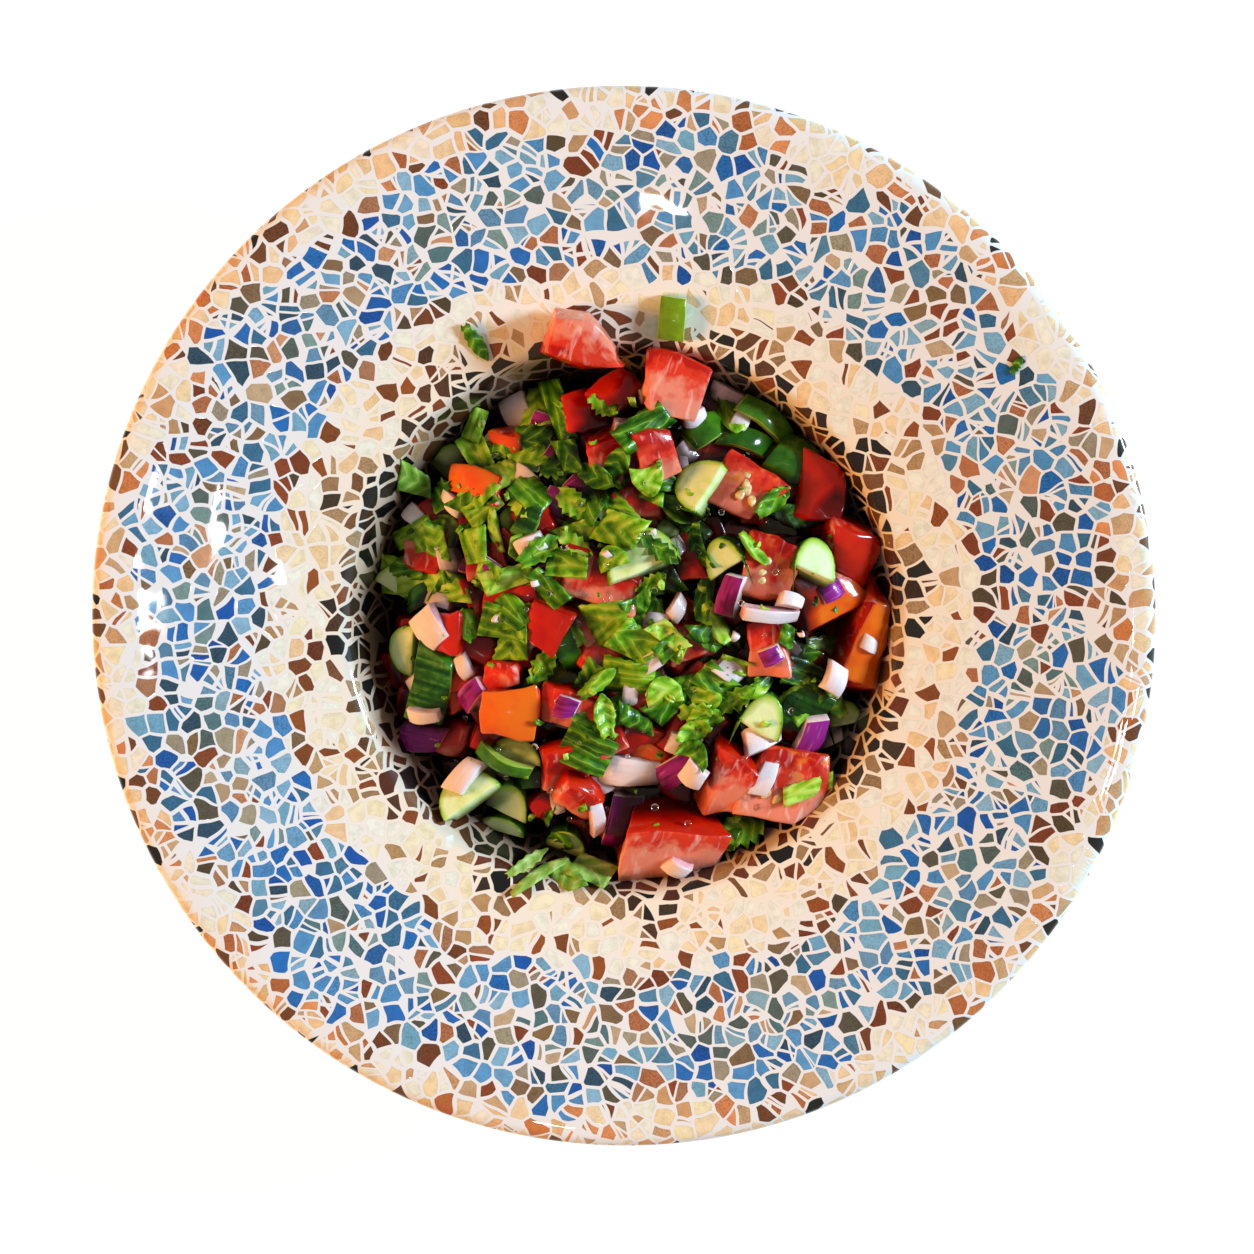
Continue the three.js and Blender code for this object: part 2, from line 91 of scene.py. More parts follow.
class NodeGraph:
    """One material's node tree, with its shader ready to be fed."""

    def __init__(self, name: str) -> None:
        """Starts an empty material with a Principled shader.

        Args:
            name: the material's name.
        """
        self.material = bpy.data.materials.new(name)
        self.material.use_nodes = True
        self.tree = self.material.node_tree
        self.shader = self.tree.nodes["Principled BSDF"]

    def add(self, kind: str, *values: object, stops: Stops = (), **named: object) -> NodeSocket:
        """Adds a node with its settings, and links or sets its inputs.

        Args:
            kind: the node's type without the leading ShaderNode, with its operation after a dot. An
                operation alone, such as MULTIPLY, is that of a Math node.
            values: what the inputs that are in use get, in their order.
            stops: a colour ramp's places and hex colours.
            named: settings in small letters, and inputs by their names.

        Returns:
            The node's first output that is in use. The others are reached through its node.
        """
        if kind.isupper():
            kind = "Math." + kind
        kind, _, operation = kind.partition(".")
        node = self.tree.nodes.new("ShaderNode" + kind)
        settings = {key: value for key, value in named.items() if key.islower()}
        if operation:
            settings["operation"] = operation
        for key, value in settings.items():
            setattr(node, key, value)
        for socket, value in zip([socket for socket in node.inputs if socket.enabled], values):
            self.plug(socket, value)
        for key, value in named.items():
            if key not in settings:
                self.plug(node.inputs[key], value)
        if stops:
            elements = node.color_ramp.elements
            while len(elements) < len(stops):
                elements.new(1.0)
            for element, (place, colour) in zip(elements, stops):
                element.position, element.color = place, hex_colour(colour)
        return next(socket for socket in node.outputs if socket.enabled)

    def plug(self, socket: NodeSocket, value: object) -> None:
        """Gives an input its value.

        Args:
            socket: the input.
            value: the output that it is linked to, or a number, vector or hex colour.
        """
        if isinstance(value, NodeSocket):
            self.tree.links.new(value, socket)
        else:
            socket.default_value = hex_colour(value) if isinstance(value, str) else value

    def feed(self, **inputs: object) -> None:
        """Links or sets the shader's own inputs by name, with _ for a space."""
        for key, value in inputs.items():
            self.plug(self.shader.inputs[key.replace("_", " ")], value)


# The glaze and its broken-tile pattern

@dataclass(frozen=True)
class MosaicGlaze:
    """Stoneware under a clear gloss glaze, fired over a printed pattern of broken tiles.

    Glaze gives a hard, even shine over colours that lie a little below it, so the tiles have no
    relief of their own. The pattern's rings follow the rim, with twelve scallops.
    """

    tile: float = 4.9
    unevenness: float = 0.94
    broken_share: float = 0.42
    twice_broken_share: float = 0.1
    chip: float = 1.65
    chip_spread: float = 1.6
    thinnest_joint: float = 0.2
    joint_spread: float = 0.36
    edge_sharpness: float = 9.0
    shade_sharpness: float = 2.2
    edge_shade: float = 0.12
    wobble_size: float = 6.0
    wobble: float = 1.6
    stipple_size: float = 0.62
    stipple_strength: float = 0.5
    wash_size: float = 2.6
    wash_strength: float = 0.8
    wave_size: float = 14.0
    wave_height: float = 0.4
    print_step: float = 0.06
    speck_size: float = 9.0
    scallops: int = 12
    first_cusp: float = math.radians(5)
    stray: float = 4.0
    blue_inner: float = 93.0
    blue_outer: float = 131.5
    blue_middle: float = 111.5
    inner_bump: float = 5.0
    outer_dip: float = 8.5
    middle_reach: float = 6.5
    dark_radius: float = 74.5
    dark_reach: float = 10.5
    brown_reach: float = 6.5
    accent_reach: float = 3.4
    edge_radius: float = 138.4
    warm_from: float = 0.48
    # joint colour ramp by radius; below about 75 mm it darkens into the well as painted shade
    joint_start: float = 60.0
    joint_reach: float = 45.0
    joint_places: tuple[float, ...] = (0.0, 0.22, 0.33, 0.6, 0.85)
    joints: Colours = ("#7d624e", "#cdb196", "#faead2", "#f8eee0", "#f1f0ee")
    blues: Colours = (
        "#2a74c4", "#5398d4", "#88bede", "#3a7498", "#145cb6", "#92c2de", "#5f5a48", "#62a4d8",
        "#3e789e", "#74b0d8", "#2276c8", "#a89c84", "#559ad0", "#c0784c", "#7ab4d0", "#1c64b8",
        "#34566c", "#8a6f4e", "#568cac", "#984a24",
    )
    middles: Colours = (
        "#7d9c98", "#b89c78", "#5f95c2", "#cf8a5c", "#92b8c6", "#5c6c66", "#cdb28c", "#2f70b4",
        "#84a4a0", "#8d7048", "#74a4c4", "#d9a074", "#587f84", "#aca486", "#8e4a24", "#6a9cc0",
    )
    creams: Colours = (
        "#fff0c4", "#fbf8e6", "#fee3b4", "#f9f9ea", "#fcd8a2", "#fdf3cc", "#f8f8e6", "#cfa878",
        "#f7f8e6", "#fff1cc", "#8c4c1e", "#fad2a0", "#fbfae8", "#c49a66", "#feeac0", "#a2561f",
    )
    warms: Colours = (
        "#ee9c60", "#fbd09a", "#dc8648", "#fde6bc", "#d4b084", "#f8c68e", "#c2703c", "#fdf0d8",
        "#e29258", "#d9b282", "#7a4a28", "#f9dbac",
    )
    mints: Colours = (
        "#faf6e0", "#fdeec0", "#f6f5e0", "#fceed0", "#f9f5de", "#fde4b4", "#dca874", "#fbf3da",
    )
    browns: Colours = (
        "#5c3a1f", "#8a5a34", "#3a2a1a", "#7a3a1c", "#a88458", "#2c2418", "#6e4526", "#94491f",
        "#4a3824", "#c09a6c",
    )
    blacks: Colours = (
        "#2a1c10", "#0f0d0a", "#44290f", "#15130e", "#5a2a12", "#2f2418", "#080706", "#221d13",
    )
    accents: Colours = ("#7a4420", "#9c4a22", "#c49a6c", "#84401c", "#5a4a30", "#b5805a")
    edges: Colours = ("#26231b", "#f8e0b8", "#e8b07a", "#7a5430", "#fae8c4", "#f2cc92")
    shade: str = "#2a1d10"

    def make(self) -> Material:
        """Builds the material from the bowl's surface map.

        Returns:
            The glazed material.
        """
        graph = NodeGraph("stoneware_mosaic_gloss_glaze")
        surface = graph.add("UVMap", uv_map="surface")
        bent = self._bent(graph, surface)
        tiles = {"voronoi_dimensions": "2D", "Vector": bent, "Scale": 1 / (self.tile * MM),
                 "Randomness": self.unevenness}
        cell = graph.add("TexVoronoi", **tiles).node.outputs
        gap = graph.add("TexVoronoi", feature="DISTANCE_TO_EDGE", **tiles)
        draw = graph.add("SeparateColor", cell["Color"]).node.outputs
        offset = graph.add("VectorMath.SUBTRACT", bent, cell["Position"])
        first, first_side = self._break(graph, offset, draw[2], draw[0], self.broken_share)
        second, second_side = self._break(graph, offset, draw[1], draw[0], self.twice_broken_share)
        near = graph.add("MINIMUM", graph.add("MULTIPLY", gap, self.tile),
                         graph.add("MINIMUM", first, second))
        near = graph.add("MINIMUM", near, self._chip(graph, offset, draw))
        shard = graph.add("MULTIPLY_ADD", second_side, 0.29, graph.add("MULTIPLY", first_side, 0.37))
        pick = graph.add("FRACT", graph.add("MULTIPLY_ADD", draw[1], 7.0, shard))
        colour = self._ring_colour(graph, cell["Position"], pick)
        width = graph.add("MULTIPLY_ADD", draw[2], self.joint_spread, self.thinnest_joint)
        depth = graph.add("SUBTRACT", near, width)
        tile_share = graph.add("MULTIPLY", depth, self.edge_sharpness, use_clamp=True)
        inside = graph.add("MULTIPLY", depth, self.shade_sharpness, use_clamp=True)
        shaded = graph.add("MULTIPLY_ADD", inside, -self.edge_shade, self.edge_shade)
        stippled = self._stippled(graph, surface, colour, pick)
        toned = graph.add("Mix", shaded, stippled, self.shade, **TINT)
        # painted shade: the joint colour darkens down in the well
        printed = graph.add("Mix", tile_share, self._joint_colour_and_well_shade(graph, surface), toned, **BLEND)
        under = graph.add("SeparateXYZ", graph.add("UVMap", uv_map="side"))
        speck = graph.add("TexNoise", Vector=surface, Scale=1 / (self.speck_size * MM), Detail=4.0)
        plain = graph.add("ValToRGB", speck, stops=[(0.3, "#e6dccb"), (0.6, "#efe7d8"), (0.75, "#e9dfcd")])
        graph.feed(Base_Color=graph.add("Mix", under, printed, plain, **BLEND), Roughness=0.5,
                   Specular_IOR_Level=0.25, Coat_Weight=1.0, Coat_Roughness=0.02)
        self._ripple(graph, surface, tile_share)
        return graph.material

    def _bent(self, graph: NodeGraph, surface: NodeSocket) -> NodeSocket:
        """Bends the map a little, so the tiles' sides aren't all dead straight.

        Args:
            graph: the material's graph.
            surface: the map.

        Returns:
            The bent map.
        """
        waver = graph.add("TexNoise", noise_dimensions="2D", Vector=surface,
                          Scale=1 / (self.wobble_size * MM), Detail=0.0).node.outputs["Color"]
        centred = graph.add("VectorMath.SUBTRACT", waver, (0.5, 0.5, 0.5))
        moved = graph.add("VectorMath.SCALE", centred, self.wobble * MM)
        return graph.add("VectorMath.ADD", surface, moved)

    @staticmethod
    def _break(graph: NodeGraph, offset: NodeSocket, turn: NodeSocket,
               draw: NodeSocket, share: float) -> tuple[NodeSocket, NodeSocket]:
        """Breaks a share of the cells along a line near their middles, as a dropped tile breaks.

        Args:
            graph: the material's graph.
            offset: the point's place from the middle of its cell.
            turn: a random number that turns the line.
            draw: a random number that chooses which cells break.
            share: the share of the cells that break.

        Returns:
            The distance to the break in millimetres, and 0 or 1 for the side of it.
        """
        along = MosaicGlaze._along(graph, offset, turn, 17.0)
        shifted = graph.add("MULTIPLY_ADD", along, 1 / MM, graph.add("MULTIPLY_ADD", turn, 1.6, -0.8))
        whole = graph.add("GREATER_THAN", draw, share)
        distance = graph.add("MULTIPLY_ADD", whole, 50.0, graph.add("ABSOLUTE", shifted))
        side = graph.add("MULTIPLY", graph.add("GREATER_THAN", shifted, 0.0),
                         graph.add("SUBTRACT", 1.0, whole))
        return distance, side

    @staticmethod
    def _along(graph: NodeGraph, offset: NodeSocket, turn: NodeSocket, spread: float) -> NodeSocket:
        """Measures how far a point lies from its cell's middle in a direction of the cell's own.

        Args:
            graph: the material's graph.
            offset: the point's place from the middle of its cell.
            turn: a random number that chooses the direction.
            spread: how many radians that number spans.

        Returns:
            The distance in metres.
        """
        parts = graph.add("SeparateXYZ", offset).node.outputs
        angle = graph.add("MULTIPLY", turn, spread)
        return graph.add("ADD",
                         graph.add("MULTIPLY", parts[0], graph.add("COSINE", angle)),
                         graph.add("MULTIPLY", parts[1], graph.add("SINE", angle)))

    def _chip(self, graph: NodeGraph, offset: NodeSocket, draw: Sequence[NodeSocket]) -> NodeSocket:
        """Cuts a corner off each tile, so the joints widen here and there.

        Args:
            graph: the material's graph.
            offset: the point's place from the middle of its cell.
            draw: three random numbers of the cell.

        Returns:
            The distance inside the cut in millimetres.
        """
        along = self._along(graph, offset, draw[0], 23.0)
        reach = graph.add("MULTIPLY_ADD", draw[1], self.chip_spread, self.chip)
        return graph.add("MULTIPLY_ADD", along, -1 / MM, reach)

    @staticmethod
    def _picked(graph: NodeGraph, pick: NodeSocket, colours: Sequence[str]) -> NodeSocket:
        """Picks one of a ring's colours, each as likely as the others.

        Args:
            graph: the material's graph.
            pick: the tile's random number.
            colours: the ring's hex colours.

        Returns:
            The colour.
        """
        stops = [(i / len(colours), colour) for i, colour in enumerate(colours)]
        colour = graph.add("ValToRGB", pick, stops=stops)
        colour.node.color_ramp.interpolation = "CONSTANT"
        return colour

    def _ring_colour(self, graph: NodeGraph, centre: NodeSocket, pick: NodeSocket) -> NodeSocket:
        """Chooses each tile's colour by the ring and scallop that its middle lies in.

        Args:
            graph: the material's graph.
            centre: the middle of the cell.
            pick: a random number that chooses within the ring's colours.

        Returns:
            The tile's colour.
        """
        picked = partial(self._picked, graph, pick)
        parts = graph.add("SeparateXYZ", centre).node.outputs
        length = graph.add("VectorMath.LENGTH", centre)
        radius = graph.add("DIVIDE", length, MM)
        strayed = graph.add("FRACT", graph.add("MULTIPLY", pick, 31.0))
        loose = graph.add("ADD", radius, graph.add("MULTIPLY_ADD", strayed, self.stray, -self.stray / 2))
        turn = graph.add("SUBTRACT", graph.add("ARCTAN2", parts[1], parts[0]), self.first_cusp)
        sine = graph.add("SINE", graph.add("MULTIPLY", turn, self.scallops / 2))
        wave = graph.add("ABSOLUTE", sine)
        arch = graph.add("POWER", wave, 0.6)
        inner = graph.add("MULTIPLY_ADD", arch, -self.inner_bump, self.blue_inner + self.inner_bump)
        outer = graph.add("MULTIPLY_ADD", arch, self.outer_dip, self.blue_outer - self.outer_dip)
        dark = graph.add("MULTIPLY_ADD", wave, -self.dark_reach, self.dark_radius + self.dark_reach)
        colour = graph.add("Mix", graph.add("LESS_THAN", loose, dark), picked(self.creams),
                           picked(self.browns), **BLEND)
        black = graph.add("LESS_THAN", loose, graph.add("SUBTRACT", dark, self.brown_reach))
        colour = graph.add("Mix", black, colour, picked(self.blacks), **BLEND)
        colour = graph.add("Mix", graph.add("GREATER_THAN", loose, inner), colour,
                           picked(self.blues), **BLEND)
        off_middle = graph.add("ABSOLUTE", graph.add("SUBTRACT", loose, self.blue_middle))
        in_middle = graph.add("LESS_THAN", off_middle, graph.add("MULTIPLY", wave, self.middle_reach))
        colour = graph.add("Mix", in_middle, colour, picked(self.middles), **BLEND)
        border = graph.add("Mix", graph.add("GREATER_THAN", wave, self.warm_from), picked(self.mints),
                           picked(self.warms), **BLEND)
        colour = graph.add("Mix", graph.add("GREATER_THAN", loose, outer), colour, border, **BLEND)
        reach = graph.add("MULTIPLY_ADD", arch, -self.accent_reach, self.accent_reach)
        inside = graph.add("ABSOLUTE", graph.add("SUBTRACT", radius, inner))
        outside = graph.add("ABSOLUTE", graph.add("SUBTRACT", radius, outer))
        accent = graph.add("LESS_THAN", graph.add("MINIMUM", inside, outside), reach)
        colour = graph.add("Mix", accent, colour, picked(self.accents), **BLEND)
        return graph.add("Mix", graph.add("GREATER_THAN", radius, self.edge_radius), colour,
                         picked(self.edges), **BLEND)

    def _joint_colour_and_well_shade(self, graph: NodeGraph, surface: NodeSocket) -> NodeSocket:
        """Gives the joint white, which turns to a warm grey down in the well as painted shade.

        Args:
            graph: the material's graph.
            surface: the map.

        Returns:
            The colour.
        """
        length = graph.add("VectorMath.LENGTH", surface)
        share = graph.add("MULTIPLY_ADD", length, 1 / (self.joint_reach * MM),
                          -self.joint_start / self.joint_reach)
        return graph.add("ValToRGB", share, stops=list(zip(self.joint_places, self.joints)))

    def _stippled(self, graph: NodeGraph, surface: NodeSocket, colour: NodeSocket,
                  pick: NodeSocket) -> NodeSocket:
        """Gives the print its fine leathery stipple and a slow change of tone.

        Args:
            graph: the material's graph.
            surface: the map.
            colour: the tile's colour.
            pick: the tile's random number, which sets how coarse its stipple looks.

        Returns:
            The stippled colour.
        """
        grains = graph.add("TexVoronoi", voronoi_dimensions="2D", Vector=surface,
                           Scale=1 / (self.stipple_size * MM))
        tone = graph.add("ValToRGB", grains, stops=[(0.15, "#ffffff"), (0.65, "#84807e")])
        dark = graph.add("SUBTRACT", 1.05, graph.add("RGBToBW", colour))
        share = graph.add("MULTIPLY_ADD",
                          graph.add("FRACT", graph.add("MULTIPLY", pick, 13.0)),
                          self.stipple_strength, 0.12)
        share = graph.add("MULTIPLY", share, dark)
        brushed = graph.add("TexNoise", noise_dimensions="2D", Vector=surface,
                            Scale=1 / (self.wash_size * MM), Detail=3.0)
        wash = graph.add("ValToRGB", brushed, stops=[(0.3, "#eae7e2"), (0.6, "#ffffff")])
        stippled = graph.add("Mix", share, colour, tone, **TINT)
        return graph.add("Mix", self.wash_strength, stippled, wash, **TINT)

    def _ripple(self, graph: NodeGraph, surface: NodeSocket, tile: NodeSocket) -> None:
        """Adds the glaze's slow waviness and the faint step of the print under it.

        Args:
            graph: the material's graph.
            surface: the map.
            tile: 1 on a tile and 0 in a joint.
        """
        slow = graph.add("TexNoise", noise_dimensions="2D", Vector=surface,
                         Scale=1 / (self.wave_size * MM), Detail=1.0)
        height = graph.add("MULTIPLY_ADD", tile, self.print_step, slow)
        bump = graph.add("Bump", Strength=0.12, Distance=self.wave_height * MM, Height=height)
        graph.feed(Normal=bump, Coat_Normal=bump)


# The bowl

@dataclass
class Bowl:
    """The turned bowl: its rim, well, rounded edge, wall and foot ring."""

    radius: float = 140.0
    rim_height: float = 54.2
    rim_slope: float = 0.19
    rim_thickness: float = 4.4
    edge_depth: float = 3.2
    lip_radius: float = 73.5
    lip_round: float = 3.0
    wall_thickness: float = 4.4
    wall_foot: tuple[float, float] = (66.0, 20.0)
    floor: tuple[float, float] = (48.0, 7.5)
    inner_bend: tuple[float, float] = (62.0, 8.3)
    outer_bend: tuple[float, float] = (66.5, 5.0)
    foot_radius: float = 46.0
    foot_width: float = 4.5
    foot_top: float = 3.2
    foot_taper: float = 1.0
    foot_recess: float = 2.5
    foot_round: float = 0.5
    pole: float = 0.01
    pattern_reach: float = 9.5
    pattern_fade: float = 0.6
    well_map: float = 70.0
    well_stretch: float = 0.55
    segments: int = 192
    glaze: MosaicGlaze = field(default_factory=MosaicGlaze)

    def inner_profile(self) -> Outline:
        """Gives the inner face from the middle of the floor to the rim's edge.

        Returns:
            Radius and height pairs.
        """
        rim_start = self.radius - self.edge_depth
        lip_height = self.rim_height - self.rim_slope * (rim_start - self.lip_radius - self.lip_round)
        lip_in = (self.lip_radius - self.lip_round / 3, lip_height - self.lip_round)
        lip_out = (self.lip_radius + self.lip_round, lip_height)
        lip_bend = (self.lip_radius, lip_height - self.lip_round * self.rim_slope)
        return [
            *straight((self.pole, self.floor[1]), self.floor, 6),
            *curve(self.floor, self.inner_bend, self.wall_foot, 8),
            *straight(self.wall_foot, lip_in, 4),
            *curve(lip_in, lip_bend, lip_out, 6),
            *straight(lip_out, (rim_start, self.rim_height), 8),
        ]

    def outer_profile(self) -> Outline:
        """Gives the rounded edge and the underside, in to the middle of the foot's recess.

        Returns:
            Radius and height pairs.
        """
        rim_start = self.radius - self.edge_depth
        under = self.rim_height - self.rim_thickness
        middle = self.rim_height - self.rim_thickness / 2
        corner = self.lip_radius + self.wall_thickness
        corner_height = under - self.rim_slope * (rim_start - corner)
        corner_out = (corner + self.lip_round, corner_height + self.lip_round * self.rim_slope)
        corner_in = (corner - self.lip_round / 3, corner_height - self.lip_round)
        wall = (self.wall_foot[0] + self.wall_thickness, self.wall_foot[1])
        foot_outer = (self.foot_radius + self.foot_taper, self.foot_top)
        foot_inner, soft = self.foot_radius - self.foot_width, self.foot_round
        recess = (foot_inner - self.foot_taper, self.foot_recess)
        return [
            *curve((rim_start, self.rim_height), (self.radius, self.rim_height), (self.radius, middle), 6),
            *curve((self.radius, middle), (self.radius, under), (rim_start, under), 6),
            *straight((rim_start, under), corner_out, 5),
            *curve(corner_out, (corner, corner_height), corner_in, 5),
            *straight(corner_in, wall, 4),
            *curve(wall, self.outer_bend, foot_outer, 8),
            *straight(foot_outer, (self.foot_radius, soft), 1),
            *curve((self.foot_radius, soft), (self.foot_radius, 0.0), (self.foot_radius - soft, 0.0), 3),
            *straight((self.foot_radius - soft, 0.0), (foot_inner + soft, 0.0), 1),
            *curve((foot_inner + soft, 0.0), (foot_inner, 0.0), (foot_inner, soft), 3),
            *straight((foot_inner, soft), recess, 2),
            *straight(recess, (self.pole, self.foot_recess), 3),
            (self.pole, self.foot_recess),
        ]

    def top_height(self, radius: Reals) -> np.ndarray:
        """Gives the inner face's height at a distance from the axis."""
        radii, heights = zip(*self.inner_profile())
        return np.interp(radius, [*radii, self.radius - self.edge_depth], [*heights, self.rim_height])

    def keep_inside(self, bm: BMesh, clearance: float = 0.2) -> None:
        """Moves points that reach into the pottery back into the bowl.

        Args:
            bm: the mesh of what lies in the bowl.
            clearance: how far it stays off the glaze.
        """
        radii, heights = np.array(self.inner_profile()).T
        lip = self.lip_radius + self.lip_round
        lip_height = float(self.top_height(lip))
        for vert in bm.verts:
            x, y, z = vert.co
            radius = math.hypot(x, y)
            widest = float(np.interp(z, heights, radii)) - clearance
            if z < lip_height - 1 and radius > widest:
                vert.co.x, vert.co.y = x * widest / radius, y * widest / radius
            elif radius > self.lip_radius - 1:
                vert.co.z = max(z, float(self.top_height(radius)) + clearance)

    def build(self) -> Object:
        """Turns the profile, maps the surface and glazes it.

        Returns:
            The bowl.
        """
        inner, outer = self.inner_profile(), self.outer_profile()
        profile = [*inner, *outer]
        bm = bmesh.new()
        points = [bm.verts.new((radius, 0.0, height)) for radius, height in profile]
        edges = [bm.edges.new(pair) for pair in zip(points, points[1:])]
        bmesh.ops.spin(bm, geom=[*points, *edges], cent=(0, 0, 0), axis=(0, 0, 1), dvec=(0, 0, 0),
                       angle=math.tau, steps=self.segments, use_merge=True, use_duplicate=False)
        bmesh.ops.remove_doubles(bm, verts=bm.verts, dist=0.02)
        bmesh.ops.recalc_face_normals(bm, faces=bm.faces)
        self._map_surface(bm, len(inner), profile)
        return finished(bm, "glazed_bowl", "bowl", [self.glaze.make()])

    def _map_surface(self, bm: BMesh, inner_count: int, profile: Outline) -> None:
        """Lays the pattern's map over the bowl by the distance along its profile.

        The map's radius is about the real one on the rim and runs on round the edge. Down in the well it
        changes more slowly, which draws the tiles out. A second map is 1 on the underside's plain glaze.

        Args:
            bm: the bowl's mesh.
            inner_count: how many of the profile's points are on the inner face.
            profile: the whole profile.
        """
        start = self.radius - self.edge_depth
        steps = [math.dist(a, b) for a, b in zip(profile, profile[1:])]
        travelled = np.concatenate([[0.0], np.cumsum(steps)])
        reach = travelled - travelled[inner_count] + start
        reach = np.maximum(reach, self.well_map + (reach - self.well_map) * self.well_stretch)
        radii, heights = np.array(profile).T
        surface = bm.loops.layers.uv.new("surface")
        side = bm.loops.layers.uv.new("side")
        known: dict[tuple[float, float], int] = {}
        for face in bm.faces:
            for loop in face.loops:
                x, y, z = loop.vert.co
                key = (round(math.hypot(x, y), 2), round(z, 2))
                if key not in known:
                    known[key] = int(np.argmin((radii - key[0]) ** 2 + (heights - key[1]) ** 2))
                index = known[key]
                angle = math.atan2(y, x)
                centre = face.calc_center_median()
                if key[0] < 0.1:
                    angle = math.atan2(centre.y, centre.x)
                loop[surface].uv = (reach[index] * math.cos(angle) * MM, reach[index] * math.sin(angle) * MM)
                plain = min(1.0, max(0.0, (reach[index] - start - self.pattern_reach) / self.pattern_fade))
                loop[side].uv = (plain, 0.0)


def straight(a: Sequence[float], b: Sequence[float], count: int) -> Outline:
    """Gives so many evenly spaced points from a towards b, without b."""
    return [(a[0] + (b[0] - a[0]) * i / count, a[1] + (b[1] - a[1]) * i / count) for i in range(count)]


def curve(a: Sequence[float], bend: Sequence[float], b: Sequence[float], count: int) -> Outline:
    """Gives so many points along a quadratic curve from a towards b by way of bend, without b."""
    return [tuple((1 - t) ** 2 * p + 2 * t * (1 - t) * q + t * t * r for p, q, r in zip(a, bend, b))
            for t in (i / count for i in range(count))]


def thicken(sheet: Object, thickness: float, offset: float) -> None:
    """Gives a sheet its thickness and its second material below.

    Args:
        sheet: the sheet.
        thickness: how thick it gets, in millimetres.
        offset: 0 to grow to both sides, or 1 to grow upwards.
    """
    modifier = sheet.modifiers.new("leaf_thickness", "SOLIDIFY")
    modifier.thickness = thickness * MM
    modifier.offset = offset
    modifier.material_offset = 1


def finished(bm: BMesh, name: str, node: str, materials: Sequence[Material]) -> Object:
    """Turns a mesh in millimetres into a smooth, dressed object that rides on the bowl's body.

    Args:
        bm: the mesh, which is freed.
        name: the object's name.
        node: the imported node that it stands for.
        materials: its materials by slot.

    Returns:
        The object.
    """
    bmesh.ops.scale(bm, vec=(MM, MM, MM), verts=bm.verts)
    mesh = bpy.data.meshes.new(name)
    bm.to_mesh(mesh)
    bm.free()
    piece = bpy.data.objects.new(name, mesh)
    bpy.context.scene.collection.objects.link(piece)
    for material in materials:
        mesh.materials.append(material)
    mesh.shade_smooth()
    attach(piece, "root")
    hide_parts(node)
    LOG.info("%s: %d faces", name, len(mesh.polygons))
    return piece


# How cut pieces settle on one another

@dataclass(frozen=True)
class Placement:
    """Where a cut piece lies as seen from above, how it is turned, and its layer in the heap."""

    x: float
    y: float
    length: float
    width: float
    turn: float
    layer: int = 1


@dataclass(frozen=True)
class Rest:
    """The tilted plane that a piece has come to lie on."""

    x: float
    y: float
    cos: float
    sin: float
    slope_u: float
    slope_v: float
    height: float

    def point(self, u: Reals, v: Reals) -> tuple:
        """Turns the piece's own u and v into x and y."""
        return self.x + u * self.cos - v * self.sin, self.y + u * self.sin + v * self.cos

    def plane(self, u: Reals, v: Reals) -> Reals:
        """Gives the plane's height at u and v."""
        return self.height + self.slope_u * u + self.slope_v * v

    def matrix(self, sink: float = 0.0) -> Matrix:
        """Gives the matrix that lays a piece with its underside on the plane.

        Args:
            sink: how far the piece presses in.

        Returns:
            The matrix.
        """
        along = Vector((self.cos, self.sin, self.slope_u)).normalized()
        up = along.cross(Vector((-self.sin, self.cos, self.slope_v))).normalized()
        turned = Matrix((along, up.cross(along), up)).transposed().to_4x4()
        return Matrix.Translation((self.x, self.y, self.height - sink)) @ turned


